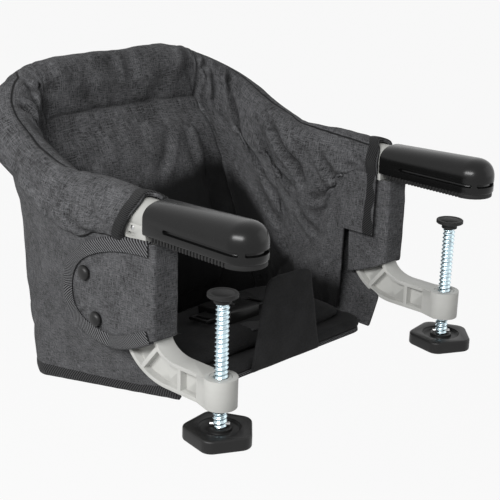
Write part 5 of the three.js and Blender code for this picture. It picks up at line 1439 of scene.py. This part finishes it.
def side_plate(outline, x_low, x_high):
    bm = plate(outline, x_high - x_low)
    turn = Matrix(((0, 0, 1), (1, 0, 0), (0, 1, 0)))
    return moved(bm, turn=turn, to=(x_low, 0, 0))


def clamp_ribs():
    """The cross ribs of the beam: one in its foot, one in its bend and two in its spine."""
    spine = -BEAM_TOP - 0.016 + SPINE_TOP
    places = [(-0.024, -0.117, math.pi / 2), (0.0126, -0.1074, -math.pi / 3.6)]
    places += [(0.0265, SPINE_TOP - spine / 3, 0), (0.0265, SPINE_TOP - spine * 2 / 3, 0)]
    ribs = []
    for y, z, angle in places:
        rib = brick((-0.011, -0.0345, -0.002), (0.011, 0.0345, 0.002))
        ribs.append(moved(rib, turn=Matrix.Rotation(angle, 3, "X"), to=(0, y, z)))
    return ribs


def make_clamp_arm(side_name, side):
    flare_start = SCREW_Y + 0.01914
    beam = side_plate(beam_outline(0, SCREW_Y), -BEAM_HALF, BEAM_HALF)
    pockets = []
    for low, high in ((0.0025, 0.0125), (-0.0125, -0.0025)):
        pocket = side_plate(beam_outline(0.0036, flare_start), low, high)
        pockets.append(round_corners(worked(pocket, ("DIFFERENCE", *clamp_ribs())), 0.002))
    boss = rod(BOSS_RADIUS, (0, SCREW_Y, -0.1295), (0, SCREW_Y, -0.103), 72)
    corners = [(-BEAM_HALF, flare_start), (-BOSS_RADIUS, SCREW_Y)]
    corners += [(BOSS_RADIUS, SCREW_Y), (BEAM_HALF, flare_start)]
    flare = moved(plate(corners, 0.0258), to=(0, 0, -0.1299))
    knuckle = rod_back(FORK_HALF, KNUCKLE_FRONT, KNUCKLE_REAR, FOLD_Z, 56)
    neck = brick((-FORK_HALF, KNUCKLE_FRONT, FOLD_Z - 0.0151), (FORK_HALF, KNUCKLE_REAR, FOLD_Z))
    insert = rod(0.0098, (0, SCREW_Y, -0.133), (0, SCREW_Y, -0.100), 64)
    joined = ("UNION", boss, flare, knuckle, neck)
    bm = worked(beam, ("DIFFERENCE", *pockets), joined, ("DIFFERENCE", insert, pin_hole()))
    moved(round_edges(bm, 0.0005, 35), to=(side * ARM_X, 0, 0))
    node = "clamp_arm_" + side_name
    hard_piece(bm, node, "_casting", nylon, "arm_" + side_name)


def round_corners(bm, radius):
    """Rounds the edges of a pocket's block that run across the arm."""
    across = []
    for edge in bm.edges:
        along = (edge.verts[0].co - edge.verts[1].co).normalized()
        if abs(along.x) > 0.99 and edge.calc_face_angle(0) > math.radians(30):
            across.append(edge)
    return bevelled(bm, across, radius, 4)


# Clamp screw, insert, swivel pad and knob

SCREW_RADIUS = 0.006
THREAD_DEPTH = 0.0013
THREAD_LOW = -0.148
THREAD_HIGH = -0.0388


def make_screw(side_name, side):
    turns = (THREAD_HIGH - THREAD_LOW) / PITCH

    def place(u, v):
        z = mix(THREAD_LOW, THREAD_HIGH, v)
        phase = (z / PITCH - u) % 1
        crest = min(max(abs(2 * phase - 1) * 1.35 - 0.12, 0), 1)
        fade = smooth((THREAD_HIGH - z) / 0.002) * smooth((z - THREAD_LOW) / 0.001)
        radius = SCREW_RADIUS - THREAD_DEPTH * mix(1, crest, fade)
        angle = 2 * math.pi * u
        return Vector((radius * math.cos(angle), radius * math.sin(angle), z)), (u, v)

    bm = rolled(36, int(turns * 10), place, SAME_PLACE)
    shank = lathed([(0, -0.1567), (0.0043, -0.1567), (0.0047, -0.1563), (0.0047, -0.147), (0, -0.147)])
    tip = lathed([(0, -0.040), (0.004, -0.040), (0.004, -0.0343), (0.0035, -0.0338), (0, -0.0338)])
    for extra in (shank, tip):
        part = loose(extra)
        bm.from_mesh(part.data)
        bpy.data.objects.remove(part)
    moved(bm, to=(side * ARM_X, SCREW_Y, 0))
    node = "clamp_screw_" + side_name
    hard_piece(bm, node, "_thread", zinc, "screw_" + side_name, 40)


def make_insert(side_name, side):
    profile = [(0.00635, -0.1295), (0.0092, -0.1295), (0.0095, -0.1292), (0.0095, -0.1034)]
    profile += [(0.0092, -0.1031), (0.0070, -0.1031), (0.00635, -0.1036), (0.00635, -0.1295)]
    bm = moved(lathed(profile), to=(side * ARM_X, SCREW_Y, 0))
    node = "thread_insert_" + side_name
    hard_piece(bm, node, "_sleeve", nylon, "arm_" + side_name, 40)


def make_swivel_pad(side_name, side):
    profile = [(0.0043, -0.0385), (0.0072, -0.0385), (0.0075, -0.0382), (0.0075, -0.0345)]
    profile += [(0.0082, -0.0337), (0.0124, -0.0335), (0.0130, -0.0330), (0.0130, -0.0305)]
    profile += [(0.0126, -0.0301), (0.0110, -0.0300), (0.0104, -0.0304), (0.0088, -0.0304)]
    profile += [(0.0082, -0.0300), (0, -0.0300), (0, -0.0332), (0.0043, -0.0332), (0.0043, -0.0385)]
    bm = moved(lathed(profile), to=(side * ARM_X, SCREW_Y, 0))
    node = "swivel_pad_" + side_name
    hard_piece(bm, node, "_disc", rubber, "pad_" + side_name, 40)


def knob_outline():
    points = []
    for corner in range(5):
        angle = math.radians(134 + 72 * corner)
        centre = (0.020 * math.cos(angle), 0.020 * math.sin(angle))
        first, last = angle - math.radians(36), angle + math.radians(36)
        points += ellipse_arc(centre, (0.011, 0.011), first, last, 14)
    return points


def make_knob(side_name, side):
    body = moved(plate(knob_outline(), 0.012), to=(0, 0, -0.160))
    rims = [e for e in body.edges if abs(e.verts[0].co.z - e.verts[1].co.z) < SAME_PLACE]
    bevelled(body, rims, 0.002, 5)
    profile = [(0.0105, -0.1510), (0.0165, -0.1510), (0.0180, -0.1490), (0.0182, -0.1450)]
    profile += [(0.0102, -0.1450), (0.0102, -0.1485), (0.0105, -0.1510)]
    bore = rod(0.0050, (0, 0, -0.157), (0, 0, -0.145), 48)
    bm = round_edges(worked(body, ("DIFFERENCE", lathed(profile, 64), bore)), 0.0004, 40)
    moved(bm, to=(side * ARM_X, SCREW_Y, 0))
    node = "knob_" + side_name
    hard_piece(bm, node, "_body", knob_black, "screw_" + side_name)


# Plain parts whose frame shape is right: their edges are softened or their finish changed


def finish_small_parts():
    for name, _ in SIDES:
        softened("tube_plug_" + name, knob_black, 0.0004)
        softened("hub_screw_" + name, steel, 0.0004)
        softened("fold_pin_" + name, steel, 0.0004)
        softened("knob_pin_" + name, steel, 0.0003, "screw_" + name)
        softened("waist_strap_" + name, strapping, 0.0003)
        softened("buckle_tongue_" + name, buckle_black, 0.0004)
    softened("crotch_strap", strapping, 0.0003)
    softened("buckle_body", buckle_black, 0.0006)
    softened("buckle_button", buckle_black, 0.0005, "buckle_release")


# Floor and world


def make_floor():
    bm = bmesh.new()
    bmesh.ops.create_grid(bm, x_segments=1, y_segments=1, size=FLOOR_HALF)
    floor = loose(moved(bm, to=(0, 0, FLOOR_Z)), "floor")
    floor.data.materials.append(shown_white("pale floor", 0.8))


def seen_directly(tree):
    """A share that is 1 for rays from the camera, from reflections and through clear material."""
    path = tree.nodes.new("ShaderNodeLightPath")
    share = path.outputs["Is Camera Ray"]
    for name in ("Is Glossy Ray", "Is Transmission Ray"):
        either = tree.nodes.new("ShaderNodeMath")
        either.operation = "MAXIMUM"
        tree.links.new(share, either.inputs[0])
        tree.links.new(path.outputs[name], either.inputs[1])
        share = either.outputs[0]
    return share


def shown_white(name, color):
    """A pale material that looks nearly white to the camera."""
    f = Finish(name, Roughness=0.9, Base_Color=grey(color))
    glow = f.node("ShaderNodeEmission", {}, (1, 1, 1, 1), 1.0)
    share = Wire(f, seen_directly(f.tree)) * 0.92
    both = f.node("ShaderNodeMixShader", {}, share, Wire(f, f.shader.outputs[0]), glow)
    f.feed(f.tree.nodes["Material Output"].inputs["Surface"], both)
    return f.material


def set_world():
    world = bpy.data.worlds.new("studio")
    world.use_nodes = True
    bpy.context.scene.world = world
    tree = world.node_tree
    soft = tree.nodes["Background"]
    white = tree.nodes.new("ShaderNodeBackground")
    for background, strength in ((soft, SOFT_LIGHT), (white, 1.0)):
        background.inputs["Color"].default_value = (1, 1, 1, 1)
        background.inputs["Strength"].default_value = strength
    blend = tree.nodes.new("ShaderNodeMixShader")
    sources = (seen_directly(tree), soft.outputs[0], white.outputs[0])
    for socket, source in zip(blend.inputs, sources):
        tree.links.new(source, socket)
    tree.links.new(blend.outputs[0], tree.nodes["World Output"].inputs["Surface"])


set_camera()
set_world()
area_light("key", place=(-1.58, -0.36, 0.90), target=(0, 0.1, -0.02), size=(1.5, 0.45), power=44)
area_light("fill", place=(1.3, -1.2, 0.6), target=(0, 0.1, -0.05), size=(1.4, 1.4), power=4)
make_floor()
make_tube()
make_seat_cloth()
make_walls()
make_hem()
make_base()
make_cushions()
for side_name, side in SIDES:
    sleeve_tape("sleeve_binding_" + side_name, side)
    front_corner(side_name, side)
    flap_cloth(side_name, side)
    flap_tape(side_name, side)
    snap_stud("upper_snap_" + side_name, side, 0.090, -0.0495)
    snap_stud("lower_snap_" + side_name, side, 0.0745, -0.0885)
    make_grip(side_name, side)
    make_hub(side_name, side)
    make_clamp_arm(side_name, side)
    make_screw(side_name, side)
    make_insert(side_name, side)
    make_swivel_pad(side_name, side)
    make_knob(side_name, side)
finish_small_parts()

bpy.context.scene.view_settings.view_transform = "Standard"
